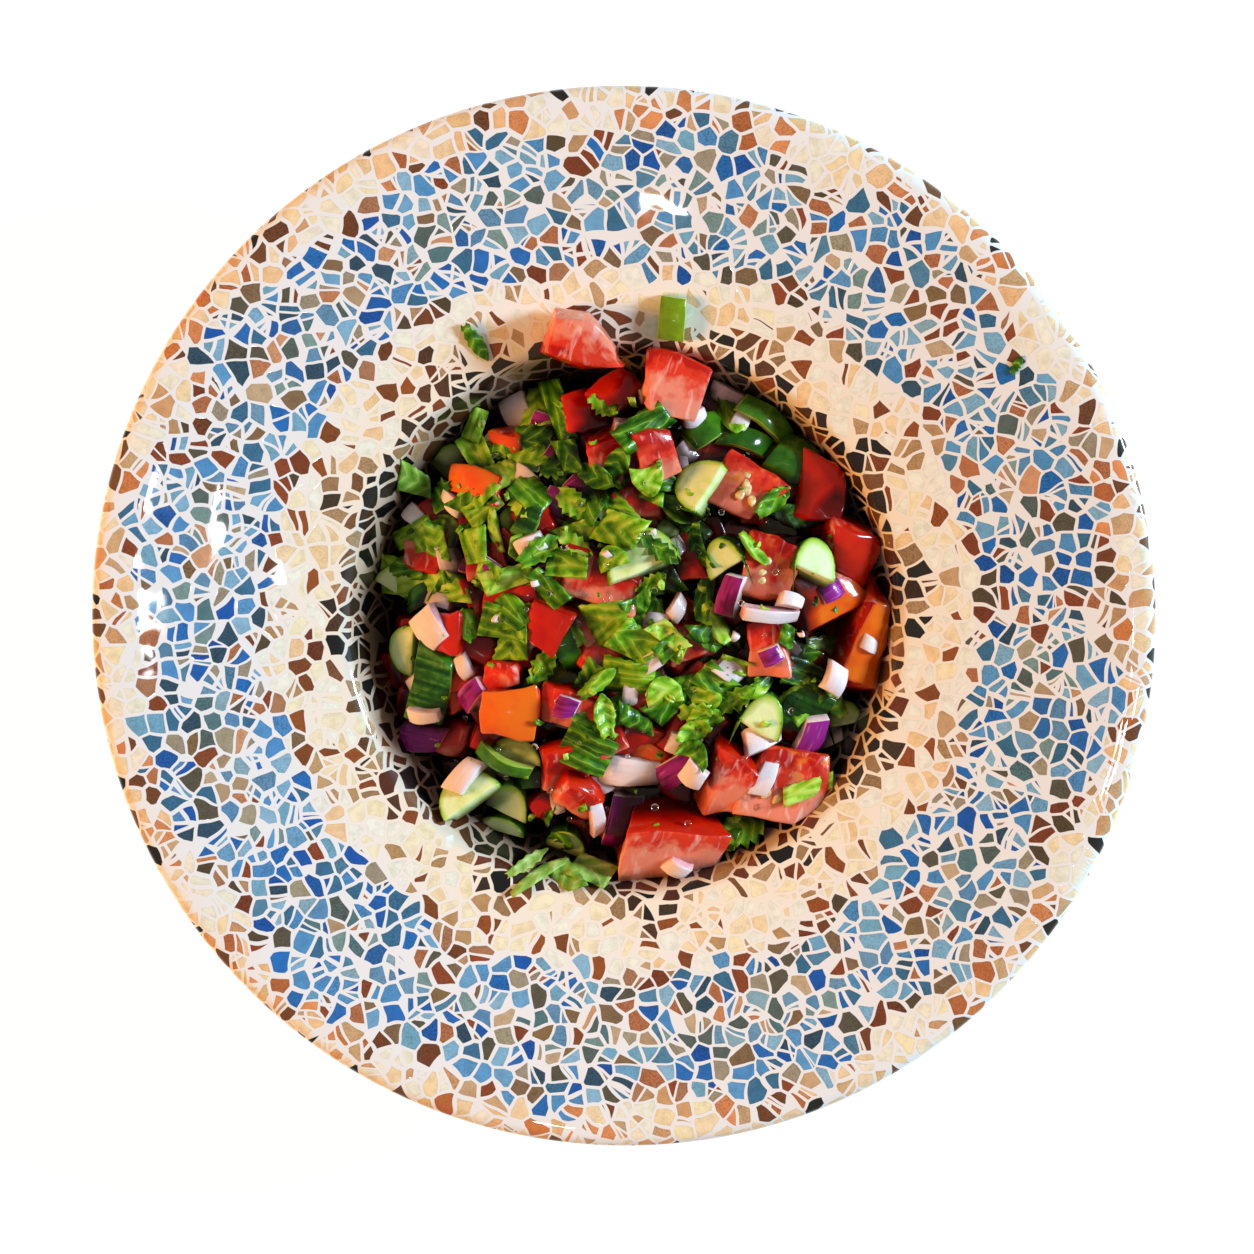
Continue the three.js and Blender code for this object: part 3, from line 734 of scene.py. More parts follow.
class HeightField:
    """The heap's top as heights on a square grid. Each piece rests on it and then raises it."""

    half = 84
    steepest = 0.55

    def __init__(self, height_at: Callable[[np.ndarray, np.ndarray], np.ndarray]) -> None:
        """Fills the grid with the starting heights that a function gives for arrays of x and y."""
        self.x, self.y = np.meshgrid(*[np.arange(-self.half, self.half + 1.0)] * 2)
        self.cells = height_at(self.x, self.y)

    def index(self, x: Reals, y: Reals) -> tuple[np.ndarray, np.ndarray]:
        """Gives the row and column of the nearest cells."""
        last = 2 * self.half
        return tuple(np.clip(np.rint(value + self.half), 0, last).astype(int) for value in (y, x))

    def at(self, x: Reals, y: Reals) -> np.ndarray:
        """Gives the height at x and y."""
        return self.cells[self.index(x, y)]

    def settle(self, placement: Placement, share: float = 0.85) -> Rest:
        """Finds where a flat-bottomed piece comes to rest.

        Args:
            placement: where the piece goes.
            share: how much of the heights under it end up below its underside.

        Returns:
            The resting plane.
        """
        turn = math.radians(placement.turn)
        cos, sin = math.cos(turn), math.sin(turn)
        steps = np.array([-0.45, -0.225, 0.0, 0.225, 0.45])
        u, v = np.meshgrid(steps * placement.length, steps * placement.width)
        heights = self.at(placement.x + u * cos - v * sin, placement.y + u * sin + v * cos)
        slopes = [(axis * heights).sum() / (axis ** 2).sum() for axis in (u, v)]
        slope_u, slope_v = [float(np.clip(slope, -self.steepest, self.steepest)) for slope in slopes]
        gaps = np.sort((heights - heights.mean() - slope_u * u - slope_v * v).ravel())
        height = float(heights.mean() + gaps[round((gaps.size - 1) * share)])
        return Rest(placement.x, placement.y, cos, sin, slope_u, slope_v, height)

    def canopy(self, reach: int, edge: float) -> "HeightField":
        """Gives the surface that the highest pieces near each point hold up.

        Args:
            reach: how far a piece counts, in cells.
            edge: the radius past which nothing counts.

        Returns:
            The surface.
        """
        cells = np.where(np.hypot(self.x, self.y) < edge, self.cells, 0.0)
        for blend in (np.max, np.mean):
            for _ in range(reach):
                cells = blend([np.roll(cells, step, axis) for step in (-1, 0, 1) for axis in (0, 1)], axis=0)
        return HeightField(lambda x, y: cells)

    def lift(self, rest: Rest, placement: Placement, rise: float) -> None:
        """Raises the cells under a piece to its top.

        Args:
            rest: the piece's resting plane.
            placement: its size.
            rise: the height of its top over the plane.
        """
        half_u, half_v = placement.length / 2, placement.width / 2
        u, v = np.meshgrid(np.arange(-half_u, half_u, 0.5), np.arange(-half_v, half_v, 0.5))
        rows, columns = self.index(*rest.point(u, v))
        np.maximum.at(self.cells, (rows, columns), rest.plane(u, v) + rise)


# Shapes that a knife leaves

class Cuttings:
    """All pieces of one kind, gathered in one mesh with the values that their finish reads.

    Each point keeps its place in the uncut vegetable, in millimetres, as "local". As "draw" it keeps
    two random numbers of its piece, and the distance from the vegetable's middle to its skin. As
    "depth" it keeps how far it lies below the heap's top, which the finishes use for painted shade.
    """

    def __init__(self, name: str, materials: Sequence[Material]) -> None:
        """Starts the kind with no pieces.

        Args:
            name: the finished object's name.
            materials: the finish of the cut faces and then of the skin.
        """
        self.name = name
        self.materials = materials
        self.bm = bmesh.new()

    @staticmethod
    def retone(piece: BMesh, slot: int, tone: float) -> BMesh:
        """Gives a piece a chosen value in place of one of its two random numbers.

        Args:
            piece: the marked piece.
            slot: which of the two, 0 or 1.
            tone: the value.

        Returns:
            The same piece.
        """
        drawn = piece.verts.layers.float_vector["draw"]
        for vert in piece.verts:
            values = vert[drawn].copy()
            values[slot] = tone
            vert[drawn] = values
        return piece

    @staticmethod
    def mark(piece: BMesh, reach: float, draw: Sequence[float]) -> None:
        """Writes a piece's own values on its points as they stand.

        Args:
            piece: the piece in its own coordinates.
            reach: the distance from the vegetable's middle to its skin.
            draw: two random numbers.
        """
        local = piece.verts.layers.float_vector.new("local")
        drawn = piece.verts.layers.float_vector.new("draw")
        for vert in piece.verts:
            vert[local] = vert.co
            vert[drawn] = (draw[0], draw[1], reach)

    def add(self, piece: BMesh, matrix: Matrix = Matrix.Identity(4)) -> None:
        """Lays a piece down and takes it into the kind.

        Args:
            piece: the marked piece, which is freed.
            matrix: its place.
        """
        if piece.calc_volume(signed=True) < 0:
            bmesh.ops.reverse_faces(piece, faces=piece.faces)
        bmesh.ops.transform(piece, matrix=matrix, verts=piece.verts)
        mesh = bpy.data.meshes.new("cutting")
        piece.to_mesh(mesh)
        piece.free()
        self.bm.from_mesh(mesh)
        bpy.data.meshes.remove(mesh)

    def finish(self, bowl: Bowl, node: str = "salad", canopy: HeightField | None = None) -> Object:
        """Keeps every point inside the bowl and turns the kind into an object.

        Args:
            bowl: the bowl that it lies in.
            node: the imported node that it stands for.
            canopy: the surface that "depth" is measured down from, or None.

        Returns:
            The object.
        """
        bowl.keep_inside(self.bm)
        if canopy is not None:
            # painted shade: "depth" lets the finishes darken each point by how far it lies below the canopy
            depth = self.bm.verts.layers.float.new("depth")
            points = np.array([vert.co for vert in self.bm.verts])
            for vert, below in zip(self.bm.verts, canopy.at(points[:, 0], points[:, 1]) - points[:, 2]):
                vert[depth] = below
        return finished(self.bm, self.name, node, self.materials)


def round_edges(piece: BMesh, edges: Iterable[BMEdge], radius: float) -> None:
    """Rounds a piece's edges."""
    bmesh.ops.bevel(piece, geom=list(edges), offset=radius, offset_type="OFFSET", segments=2,
                    profile=0.5, affect="EDGES", material=-1)


def sharp_edges(piece: BMesh) -> list[BMEdge]:
    """Gives the edges at which a piece's faces turn by more than 50 degrees."""
    return [edge for edge in piece.edges if edge.calc_face_angle(0) > math.radians(50)]


def set_down(piece: BMesh) -> None:
    """Moves a piece so that its lowest point is at 0."""
    lowest = min(vert.co.z for vert in piece.verts)
    bmesh.ops.translate(piece, vec=(0, 0, -lowest), verts=piece.verts)


@dataclass(frozen=True)
class Knife:
    """How unevenly a piece is cut, and how round its wet edges are."""

    unevenness: float = 0.13
    taper: float = 0.2
    edge: float = 0.5
    plate_edge: float = 0.28
    slice_edge: float = 0.4
    slice_arc: float = math.radians(172)
    swell: float = 0.9
    skew: float = 1.0
    ripple: float = 0.35
    ripple_size: float = 3.2

    def block(self, length: float, width: float, thickness: float, draws: random.Random,
              cuts: int = 3) -> BMesh:
        """Cuts a block with rounded edges. Its +y side is the vegetable's skin and swells.

        Args:
            length: its size along x.
            width: its size along y.
            thickness: its size along z, from 0.
            draws: the random numbers.
            cuts: how finely its sides are divided.

        Returns:
            The piece, marked, with its skin in the second material.
        """
        piece = bmesh.new()
        bmesh.ops.create_cube(piece, size=1.0)
        bmesh.ops.scale(piece, vec=(length, width, thickness), verts=piece.verts)
        bmesh.ops.translate(piece, vec=(0, 0, thickness / 2), verts=piece.verts)
        taper = draws.uniform(-self.taper, self.taper)
        for corner in piece.verts:
            corner.co.y *= 1 + taper * (1 if corner.co.x > 0 else -1)
            corner.co += Vector(draws.uniform(-1, 1) * self.unevenness * size
                                for size in (length, width, thickness))
        for face in piece.faces:
            face.material_index = int(face.normal.y > 0.7)
        round_edges(piece, piece.edges, self.edge)
        sides = [edge for edge in piece.edges if edge.calc_length() > 3 * self.edge]
        bmesh.ops.subdivide_edges(piece, edges=sides, cuts=cuts, use_grid_fill=True)
        self.roughen(piece, (length, width, thickness), draws)
        Cuttings.mark(piece, width / 2, (draws.random(), draws.random()))
        return piece

    def roughen(self, piece: BMesh, size: Sequence[float], draws: random.Random) -> None:
        """Swells the skin side and ripples the cut sides.

        Args:
            piece: the block.
            size: its length, width and thickness.
            draws: the random numbers.
        """
        length, width, thickness = size
        shift = Vector(draws.uniform(0, 90) for _ in range(3))
        piece.normal_update()
        moves = []
        for vert in piece.verts:
            x, y, z = vert.co.x * 2 / length, vert.co.y * 2 / width, vert.co.z * 2 / thickness - 1
            bulge = self.swell * max(0.0, y) * max(0.0, 1 - 0.8 * x * x) * max(0.0, 1 - 0.8 * z * z)
            ripple = noise.noise_vector(vert.co / self.ripple_size + shift) * self.ripple
            sag = noise.noise_vector(vert.co / (3 * self.ripple_size) + shift) * 2.2 * self.ripple
            moves.append(Vector((0, bulge, 0)) + ripple + sag)
        for vert, move in zip(piece.verts, moves):
            vert.co += move

    def skin_up(self, length: float, width: float, thickness: float, draws: random.Random) -> BMesh:
        """Cuts a block that lies with its skin upwards.

        Args:
            length: its size along x.
            width: its size along y.
            thickness: its size along z, from 0.
            draws: the random numbers.

        Returns:
            The piece.
        """
        piece = self.block(length, thickness, width, draws)
        upright = Matrix.Rotation(math.pi / 2, 3, "X")
        bmesh.ops.rotate(piece, cent=(0, 0, 0), matrix=upright, verts=piece.verts)
        bmesh.ops.translate(piece, vec=(0, width / 2, thickness / 2), verts=piece.verts)
        return piece

    def plate(self, length: float, width: float, thickness: float, rise: float, draws: random.Random,
              steps: int = 6) -> BMesh:
        """Cuts a curled plate, as layers of onion and walls of pepper are.

        Args:
            length: its size along x, the way that it curls.
            width: its size along y.
            thickness: the layer's thickness.
            rise: how high its middle arches.
            draws: the random numbers.
            steps: how many faces it has along x.

        Returns:
            The piece, marked, with its outer face in the second material.
        """
        piece = bmesh.new()
        bmesh.ops.create_grid(piece, x_segments=steps, y_segments=3, size=0.5)
        slant, taper = self.skew * draws.uniform(-0.3, 0.3), self.skew * draws.uniform(0.0, 0.3)
        bow = draws.uniform(0.1, 0.5)
        for vert in piece.verts:
            s, t = 2 * vert.co.x, 2 * vert.co.y
            vert.co.x = 0.5 * length * s + slant * t * 0.5 * width
            vert.co.y = 0.5 * width * t * (1 - taper * max(0.0, s))
            vert.co.z = rise * (1 - s * s) + bow * (1 - t * t) * width * 0.15
        for face in piece.faces:
            face.material_index = 1
        top = piece.faces[:]
        bmesh.ops.solidify(piece, geom=top, thickness=thickness)
        for face in piece.faces:
            if face not in top:
                face.material_index = 0
        piece.normal_update()
        round_edges(piece, sharp_edges(piece), self.plate_edge)
        set_down(piece)
        shift = Vector(draws.uniform(0, 90) for _ in range(3))
        for vert in piece.verts:
            vert.co += noise.noise_vector(vert.co / (2 * self.ripple_size) + shift) * self.ripple
        Cuttings.mark(piece, length / 2, (draws.random(), draws.random()))
        return piece

    def slice(self, length: float, width: float, thickness: float, draws: random.Random) -> BMesh:
        """Cuts part of a round slice, lying on its cut face, with its skin round the +y side.

        Args:
            length: its size along x.
            width: its size along y.
            thickness: the slice's thickness.
            draws: the random numbers.

        Returns:
            The piece, marked, with its skin in the second material.
        """
        piece = bmesh.new()
        radius = length / 2
        bmesh.ops.create_grid(piece, x_segments=14, y_segments=5, size=0.5)
        lean = draws.uniform(-0.25, 0.25)
        for vert in piece.verts:
            angle, share = self.slice_arc * vert.co.x, vert.co.y + 0.5
            arc = Vector((math.sin(angle), math.cos(angle), 0))
            vert.co = radius * arc.lerp(Vector((arc.x, lean * arc.x, 0)), 1 - share)
        bmesh.ops.solidify(piece, geom=piece.faces[:], thickness=thickness)
        set_down(piece)
        bmesh.ops.recalc_face_normals(piece, faces=piece.faces)
        for face in piece.faces:
            middle = face.calc_center_median()
            on_skin = abs(face.normal.z) < 0.5 and math.hypot(middle.x, middle.y) > 0.93 * radius
            face.material_index = int(on_skin and middle.y > 0)
        round_edges(piece, sharp_edges(piece), self.slice_edge)
        Cuttings.mark(piece, radius, (draws.random(), draws.random()))
        tilt = draws.uniform(-0.12, 0.12)
        shift = Vector(draws.uniform(0, 90) for _ in range(3))
        for vert in piece.verts:
            vert.co += noise.noise_vector(vert.co / (2 * self.ripple_size) + shift) * self.ripple
            vert.co.z += vert.co.z * tilt * vert.co.x / radius
            vert.co.y = vert.co.y * width / radius - width / 2
        return piece


class LeafCut(Enum):
    """What the knife leaves of a parsley leaf."""

    STRIP = "strip"
    LEAFLET = "leaflet"
    SHRED = "shred"


@dataclass(frozen=True)
class ParsleyCutter:
    """Makes cut parsley leaf as thin wavy sheets draped over the heap."""

    steps_u: int = 10
    steps_v: int = 4
    droop: float = 3.0
    stiffness: float = 0.68
    curl: float = 0.15
    tooth: float = 0.26
    pleat: float = 0.24
    pleat_spacing: float = 2.8

    def outline(self, cut: LeafCut, s: float, t: float, draw: Sequence[float]) -> tuple[float, float]:
        """Gives a point of the flat leaf, in parts of half its length and half its width.

        Args:
            cut: the kind of cut.
            s: place along the leaf from -1 to 1.
            t: place across it from -1 to 1.
            draw: random numbers of the leaf.

        Returns:
            The place along and across.
        """
        zigzag = abs((s * 2.6 + draw[0]) % 1 - 0.5) * 2
        if cut is LeafCut.LEAFLET:
            body = math.sqrt(max(0.04, 1 - (max(0.0, s) ** 1.8) * 0.96)) * (0.45 + 0.55 * min(1.0, s + 1))
            return s + 0.12 * (1 - t * t), t * body * (1 - self.tooth * 1.6 * zigzag * abs(t))
        if cut is LeafCut.SHRED:
            return s, t * (1 - 0.5 * s * s) + (draw[1] - 0.5) * 2.4 * s * s
        margin = 1 - 0.5 * self.tooth * zigzag * max(0.0, t)
        return s + (draw[1] - 0.5) * 0.7 * t, t * margin * (1 - 0.25 * draw[2] * s)

    def sheet(self, cut: LeafCut, rest: Rest, placement: Placement, field_: HeightField,
              draws: random.Random) -> BMesh:
        """Drapes one leaf cut over the heap.

        Args:
            cut: the kind of cut.
            rest: its resting plane.
            placement: its size.
            field_: the heap's top.
            draws: the random numbers.

        Returns:
            The leaf in place, marked.
        """
        piece = bmesh.new()
        bmesh.ops.create_grid(piece, x_segments=self.steps_u, y_segments=self.steps_v, size=0.5)
        draw = [draws.random() for _ in range(3)]
        curl_u, curl_v, fold, twist = [draws.uniform(-1, 1) * self.curl for _ in range(4)]
        lean_u, lean_v = draws.uniform(-0.22, 0.22), draws.uniform(-0.3, 0.3)
        half_u, half_v = placement.length / 2, placement.width / 2
        flat = []
        for vert in piece.verts:
            s, t = self.outline(cut, 2 * vert.co.x, 2 * vert.co.y, draw)
            flat.append((s, t))
            vert.co = (s * half_u, t * half_v, 0)
        Cuttings.mark(piece, half_v, draw[:2])
        for vert, (s, t) in zip(piece.verts, flat):
            u, v = s * half_u, t * half_v
            x, y = rest.point(u, v)
            plane = float(rest.plane(u, v))
            under = max(float(field_.at(x, y)), plane - self.droop)
            wave = (curl_u * s * s * half_u * 2.0 + curl_v * (t * t - 0.4) * half_v * 3.0
                    + fold * abs(t) * half_v * 3.0 + twist * s * t * half_v * 3.0)
            pleat = self.pleat * math.cos(math.tau * (u + 0.6 * abs(v)) / self.pleat_spacing)
            lean = lean_u * u + lean_v * v + pleat
            base = under + (plane - under) * self.stiffness
            vert.co = (x, y, base + max(wave + lean, -0.8) + 0.5)
        return piece


# Finishes of the vegetables

class FoodGraph(NodeGraph):
    """A food's node tree, with the values that its pieces carry."""

    def __init__(self, name: str) -> None:
        """Starts the material. Each piece's own place is shifted, so no two look alike.

        Args:
            name: the material's name.
        """
        super().__init__(name)
        self.local = self.add("Attribute", attribute_name="local").node.outputs["Vector"]
        self.draw = self.add("Attribute", attribute_name="draw").node.outputs["Vector"]
        self.own = self.add("VectorMath.ADD", self.local, self.add("VectorMath.SCALE", self.draw, 47.0))


@dataclass(frozen=True)
class WetFood:
    """What all cut vegetables share: a thin film of dressing, light that goes a little way in, and
    shade painted on what lies low in the heap.
    """

    roughness: float = 0.28
    shine: float = 0.2
    film: float = 0.6
    film_roughness: float = 0.06
    film_ior: float = 1.36
    glow: float = 0.2
    glow_depth: float = 2.2
    scatter: Triple = (1.0, 0.25, 0.12)
    bump_size: float = 1.1
    bump_height: float = 0.12
    # painted shade below the heap's top: its colour, start, reach, how much it deepens colours, and its mix
    depth_shade_colour: str = "#180702"
    depth_shade_start: float = 2.5
    depth_shade_reach: float = 5.5
    depth_shade_richness: float = 0.9
    depth_shade_share: float = 0.9

    def painted_depth_shade(self, graph: FoodGraph, colour: NodeSocket) -> NodeSocket:
        """Paints shade on what lies low in the heap: the further below its top, the deeper and darker the
        colour.

        Args:
            graph: the material's graph.
            colour: the vegetable's own colour.

        Returns:
            The colour.
        """
        depth = graph.add("Attribute", attribute_name="depth").node.outputs["Fac"]
        below = graph.add("SUBTRACT", depth, self.depth_shade_start)
        share = graph.add("DIVIDE", below, self.depth_shade_reach, use_clamp=True)
        rich = graph.add("MULTIPLY_ADD", share, self.depth_shade_richness, 1.0)
        deep = graph.add("Gamma", Color=colour, Gamma=rich)
        return graph.add("Mix", graph.add("MULTIPLY", share, self.depth_shade_share), deep,
                         self.depth_shade_colour, **BLEND)

    def wet(self, graph: FoodGraph, colour: NodeSocket, relief: NodeSocket | None = None,
            relief_height: float = 0.2) -> Material:
        """Dresses the food in its colour, with the film of dressing and the small bumps under it.

        Args:
            graph: the material's graph.
            colour: the food's colour.
            relief: a height that the finish adds, or None.
            relief_height: that relief's height in millimetres.

        Returns:
            The finished material.
        """
        grain = graph.add("TexNoise", Vector=graph.own, Scale=1 / self.bump_size, Detail=2.0)
        bump = graph.add("Bump", Strength=0.7, Distance=self.bump_height * MM, Height=grain)
        if relief is not None:
            bump = graph.add("Bump", Strength=0.8, Distance=relief_height * MM, Height=relief, Normal=bump)
        film = graph.add("TexNoise", Vector=graph.own, Scale=1 / (3 * self.bump_size), Detail=1.0)
        film_bump = graph.add("Bump", Strength=0.5, Distance=3 * self.bump_height * MM, Height=film,
                              Normal=bump)
        graph.feed(Base_Color=colour, Subsurface_Radius=self.scatter, Roughness=self.roughness,
                   Specular_IOR_Level=self.shine, Normal=bump,
                   Coat_Weight=self.film, Coat_Roughness=self.film_roughness, Coat_IOR=self.film_ior,
                   Coat_Normal=film_bump, Subsurface_Weight=self.glow,
                   Subsurface_Scale=self.glow_depth * MM)
        return graph.material


@dataclass(frozen=True)
class TomatoFlesh(WetFood):
    """Ripe tomato where the knife went through: wet, translucent flesh with paler strands."""

    deep: str = "#c01606"
    body: str = "#e63a1e"
    pale: str = "#f28a6c"
    strand: str = "#fccbbb"
    gel: str = "#f0801a"
    strand_share: float = 0.75
    gel_share: float = 0.75
    film: float = 0.7
    film_roughness: float = 0.05
    glow: float = 0.3

    def make(self) -> Material:
        """Builds the material.

        Returns:
            The material.
        """
        graph = FoodGraph("ripe_tomato_cut_flesh")
        at = graph.add("SeparateXYZ", graph.local).node.outputs
        drawn = graph.add("SeparateXYZ", graph.draw).node.outputs
        depth = graph.add("SUBTRACT", drawn[2], at[1])
        cloud = graph.add("TexNoise", Vector=graph.own, Scale=1 / 5.0, Detail=2.0)
        patch = graph.add("MULTIPLY_ADD", cloud, 1.6, -0.8)
        far = graph.add("ADD", graph.add("DIVIDE", depth, 14.0), patch)
        stops = [(0.0, self.deep), (0.2, self.body), (0.38, self.body), (0.7, self.pale)]
        colour = graph.add("ValToRGB", far, stops=stops)
        stretched = graph.add("Mapping", Vector=graph.own, Scale=(1.0, 0.3, 1.0))
        fibre = graph.add("TexNoise", Vector=stretched, Scale=1 / 2.8, Detail=2.0, Distortion=0.9)
        streak = graph.add("MULTIPLY", graph.add("SUBTRACT", fibre, 0.57), 5.0, use_clamp=True)
        streak = graph.add("MULTIPLY", streak, self.strand_share)
        colour = graph.add("Mix", streak, colour, self.strand, **BLEND)
        pulp = graph.add("MULTIPLY", graph.add("SUBTRACT", cloud, 0.56), 9.0, use_clamp=True)
        juicy = graph.add("MULTIPLY", pulp, graph.add("GREATER_THAN", drawn[1], 0.45))
        juicy = graph.add("MULTIPLY", juicy, self.gel_share)
        colour = graph.add("Mix", juicy, colour, self.gel, **BLEND)
        return self.wet(graph, self.painted_depth_shade(graph, colour), fibre, 0.25)


@dataclass(frozen=True)
class TomatoSkin(WetFood):
    """Tomato skin: a thin, tight and very glossy film over red flesh."""

    colours: Colours = ("#b41204", "#d02006", "#e23408", "#ea4e08", "#f26e10")
    roughness: float = 0.16
    film: float = 1.0
    glow: float = 0.15
    bump_size: float = 4.0

    def make(self) -> Material:
        """Builds the material.

        Returns:
            The material.
        """
        graph = FoodGraph("ripe_tomato_skin")
        ripe = graph.add("SeparateXYZ", graph.draw).node.outputs[1]
        cloud = graph.add("TexNoise", Vector=graph.own, Scale=1 / 6.0, Detail=2.0)
        tone = graph.add("ADD", ripe, graph.add("MULTIPLY_ADD", cloud, 0.5, -0.25), use_clamp=True)
        colour = graph.add("ValToRGB", tone, stops=spaced(self.colours))
        return self.wet(graph, self.painted_depth_shade(graph, colour))


@dataclass(frozen=True)
class CucumberFlesh(WetFood):
    """Cucumber where it is cut: pale, watery flesh that turns green just under the skin."""

    under_skin: str = "#3f8012"
    rim: str = "#b2d040"
    flesh: str = "#e8f3b0"
    heart: str = "#d8e88e"
    seed: str = "#f3efb4"
    seed_size: float = 3.0
    scatter: Triple = (0.7, 1.0, 0.3)
    depth: float = 8.0

    def make(self) -> Material:
        """Builds the material.

        Returns:
            The material.
        """
        graph = FoodGraph("cucumber_cut_flesh")
        flat = graph.add("VectorMath.MULTIPLY", graph.local, (1, 1, 0))
        radius = graph.add("VectorMath.LENGTH", flat)
        reach = graph.add("SeparateXYZ", graph.draw).node.outputs[2]
        cloud = graph.add("TexNoise", Vector=graph.own, Scale=1 / 3.0, Detail=3.0)
        below_skin = graph.add("SUBTRACT", reach, radius)
        depth = graph.add("ADD", graph.add("DIVIDE", below_skin, self.depth),
                          graph.add("MULTIPLY_ADD", cloud, 0.12, -0.06))
        stops = [(0.0, self.under_skin), (0.07, self.rim), (0.22, self.flesh), (0.5, self.flesh),
                 (0.72, self.heart), (1.0, self.flesh)]
        colour = graph.add("ValToRGB", depth, stops=stops)
        cells = graph.add("TexVoronoi", Vector=graph.own, Scale=1 / self.seed_size)
        seeds = graph.add("MULTIPLY", graph.add("SUBTRACT", 0.4, cells), 8.0, use_clamp=True)
        inner = graph.add("MULTIPLY", graph.add("SUBTRACT", depth, 0.5), 6.0, use_clamp=True)
        share = graph.add("MULTIPLY", graph.add("MULTIPLY", seeds, inner), 0.7)
        colour = graph.add("Mix", share, colour, self.seed, **BLEND)
        return self.wet(graph, self.painted_depth_shade(graph, colour), cells, 0.15)


@dataclass(frozen=True)
class CucumberSkin(WetFood):
    """Cucumber skin: deep green and waxy, with fine paler streaks along the fruit."""

    dark: str = "#16380c"
    body: str = "#2a5a14"
    streak: str = "#6f9a34"
    roughness: float = 0.3
    film: float = 0.5
    glow: float = 0.05
    ridge_spacing: float = 2.4
    scatter: Triple = (0.3, 1.0, 0.2)

    def make(self) -> Material:
        """Builds the material.

        Returns:
            The material.
        """
        graph = FoodGraph("cucumber_ridged_skin")
        across = graph.add("Mapping", Vector=graph.own, Scale=(1.0, 0.1, 0.1))
        ridge = graph.add("TexNoise", Vector=across, Scale=1 / self.ridge_spacing, Detail=2.0)
        speck = graph.add("TexNoise", Vector=graph.own, Scale=1 / 1.2, Detail=3.0)
        tone = graph.add("ADD", graph.add("MULTIPLY", ridge, 0.8), graph.add("MULTIPLY", speck, 0.2))
        colour = graph.add("ValToRGB", tone, stops=[(0.38, self.dark), (0.5, self.body), (0.68, self.streak)])
        return self.wet(graph, self.painted_depth_shade(graph, colour), ridge, 0.5)


@dataclass(frozen=True)
class PepperWall(WetFood):
    """Green pepper: a juicy pale wall inside, and skin as smooth as lacquer outside."""

    name: str = "green_pepper_skin"
    colours: Colours = ("#173f08", "#27590c", "#427a12", "#5a9018")
    roughness: float = 0.2
    film: float = 1.0
    glow: float = 0.1
    bump_size: float = 3.0
    scatter: Triple = (0.4, 1.0, 0.2)

    def make(self) -> Material:
        """Builds the material.

        Returns:
            The material.
        """
        graph = FoodGraph(self.name)
        cloud = graph.add("TexNoise", Vector=graph.own, Scale=1 / 4.0, Detail=3.0, Distortion=0.4)
        own_tone = graph.add("SeparateXYZ", graph.draw)
        patch = graph.add("MULTIPLY_ADD", cloud, 1.2, -0.35)
        tone = graph.add("ADD", graph.add("MULTIPLY", own_tone, 0.5), patch)
        colour = graph.add("ValToRGB", tone, stops=spaced(self.colours))
        return self.wet(graph, self.painted_depth_shade(graph, colour))


@dataclass(frozen=True)
class OnionLayer(WetFood):
    """Red onion: a translucent white layer with fine veins, flushed pink near its purple skin."""

    white: str = "#f8e2d8"
    flush: str = "#de969c"
    vein: str = "#b06a90"
    vein_share: float = 0.6
    glow: float = 0.4
    vein_spacing: float = 1.5
    scatter: Triple = (1.0, 0.8, 0.8)

    def make(self) -> Material:
        """Builds the material.

        Returns:
            The material.
        """
        graph = FoodGraph("red_onion_cut_layer")
        along = graph.add("Mapping", Vector=graph.own, Scale=(0.12, 1.0, 0.6))
        veins = graph.add("TexNoise", Vector=along, Scale=1 / self.vein_spacing, Detail=2.0)
        cloud = graph.add("TexNoise", Vector=graph.own, Scale=1 / 4.0, Detail=2.0)
        own_flush = graph.add("SeparateXYZ", graph.draw)
        patch = graph.add("MULTIPLY_ADD", cloud, 2.6, -0.5)
        flush = graph.add("MULTIPLY", patch, own_flush, use_clamp=True)
        colour = graph.add("Mix", flush, self.white, self.flush, **BLEND)
        line = graph.add("MULTIPLY", graph.add("SUBTRACT", veins, 0.6), 5.0, use_clamp=True)
        line = graph.add("MULTIPLY", line, self.vein_share)
        colour = graph.add("Mix", line, colour, self.vein, **BLEND)
        return self.wet(graph, self.painted_depth_shade(graph, colour), veins, 0.2)


@dataclass(frozen=True)
class OnionSkin(WetFood):
    """The outer face of a red onion's layer: purple, with veins along it and a silky shine."""

    light: str = "#c270b2"
    body: str = "#9c2484"
    dark: str = "#6a1256"
    white: str = "#f4dcd6"
    glow: float = 0.2
    purple_share: float = 0.42
    scatter: Triple = (1.0, 0.5, 0.8)
    vein_spacing: float = 1.3

    def make(self) -> Material:
        """Builds the material.

        Returns:
            The material.
        """
        graph = FoodGraph("red_onion_purple_face")
        along = graph.add("Mapping", Vector=graph.own, Scale=(0.1, 1.0, 0.5))
        veins = graph.add("TexNoise", Vector=along, Scale=1 / self.vein_spacing, Detail=2.0)
        stops = [(0.3, self.dark), (0.48, self.body), (0.62, self.body), (0.75, self.light)]
        purple = graph.add("ValToRGB", veins, stops=stops)
        tone = graph.add("SeparateXYZ", graph.draw).node.outputs[1]
        chosen = graph.add("LESS_THAN", tone, self.purple_share)
        colour = graph.add("Mix", chosen, self.white, purple, **BLEND)
        return self.wet(graph, self.painted_depth_shade(graph, colour), veins, 0.25)


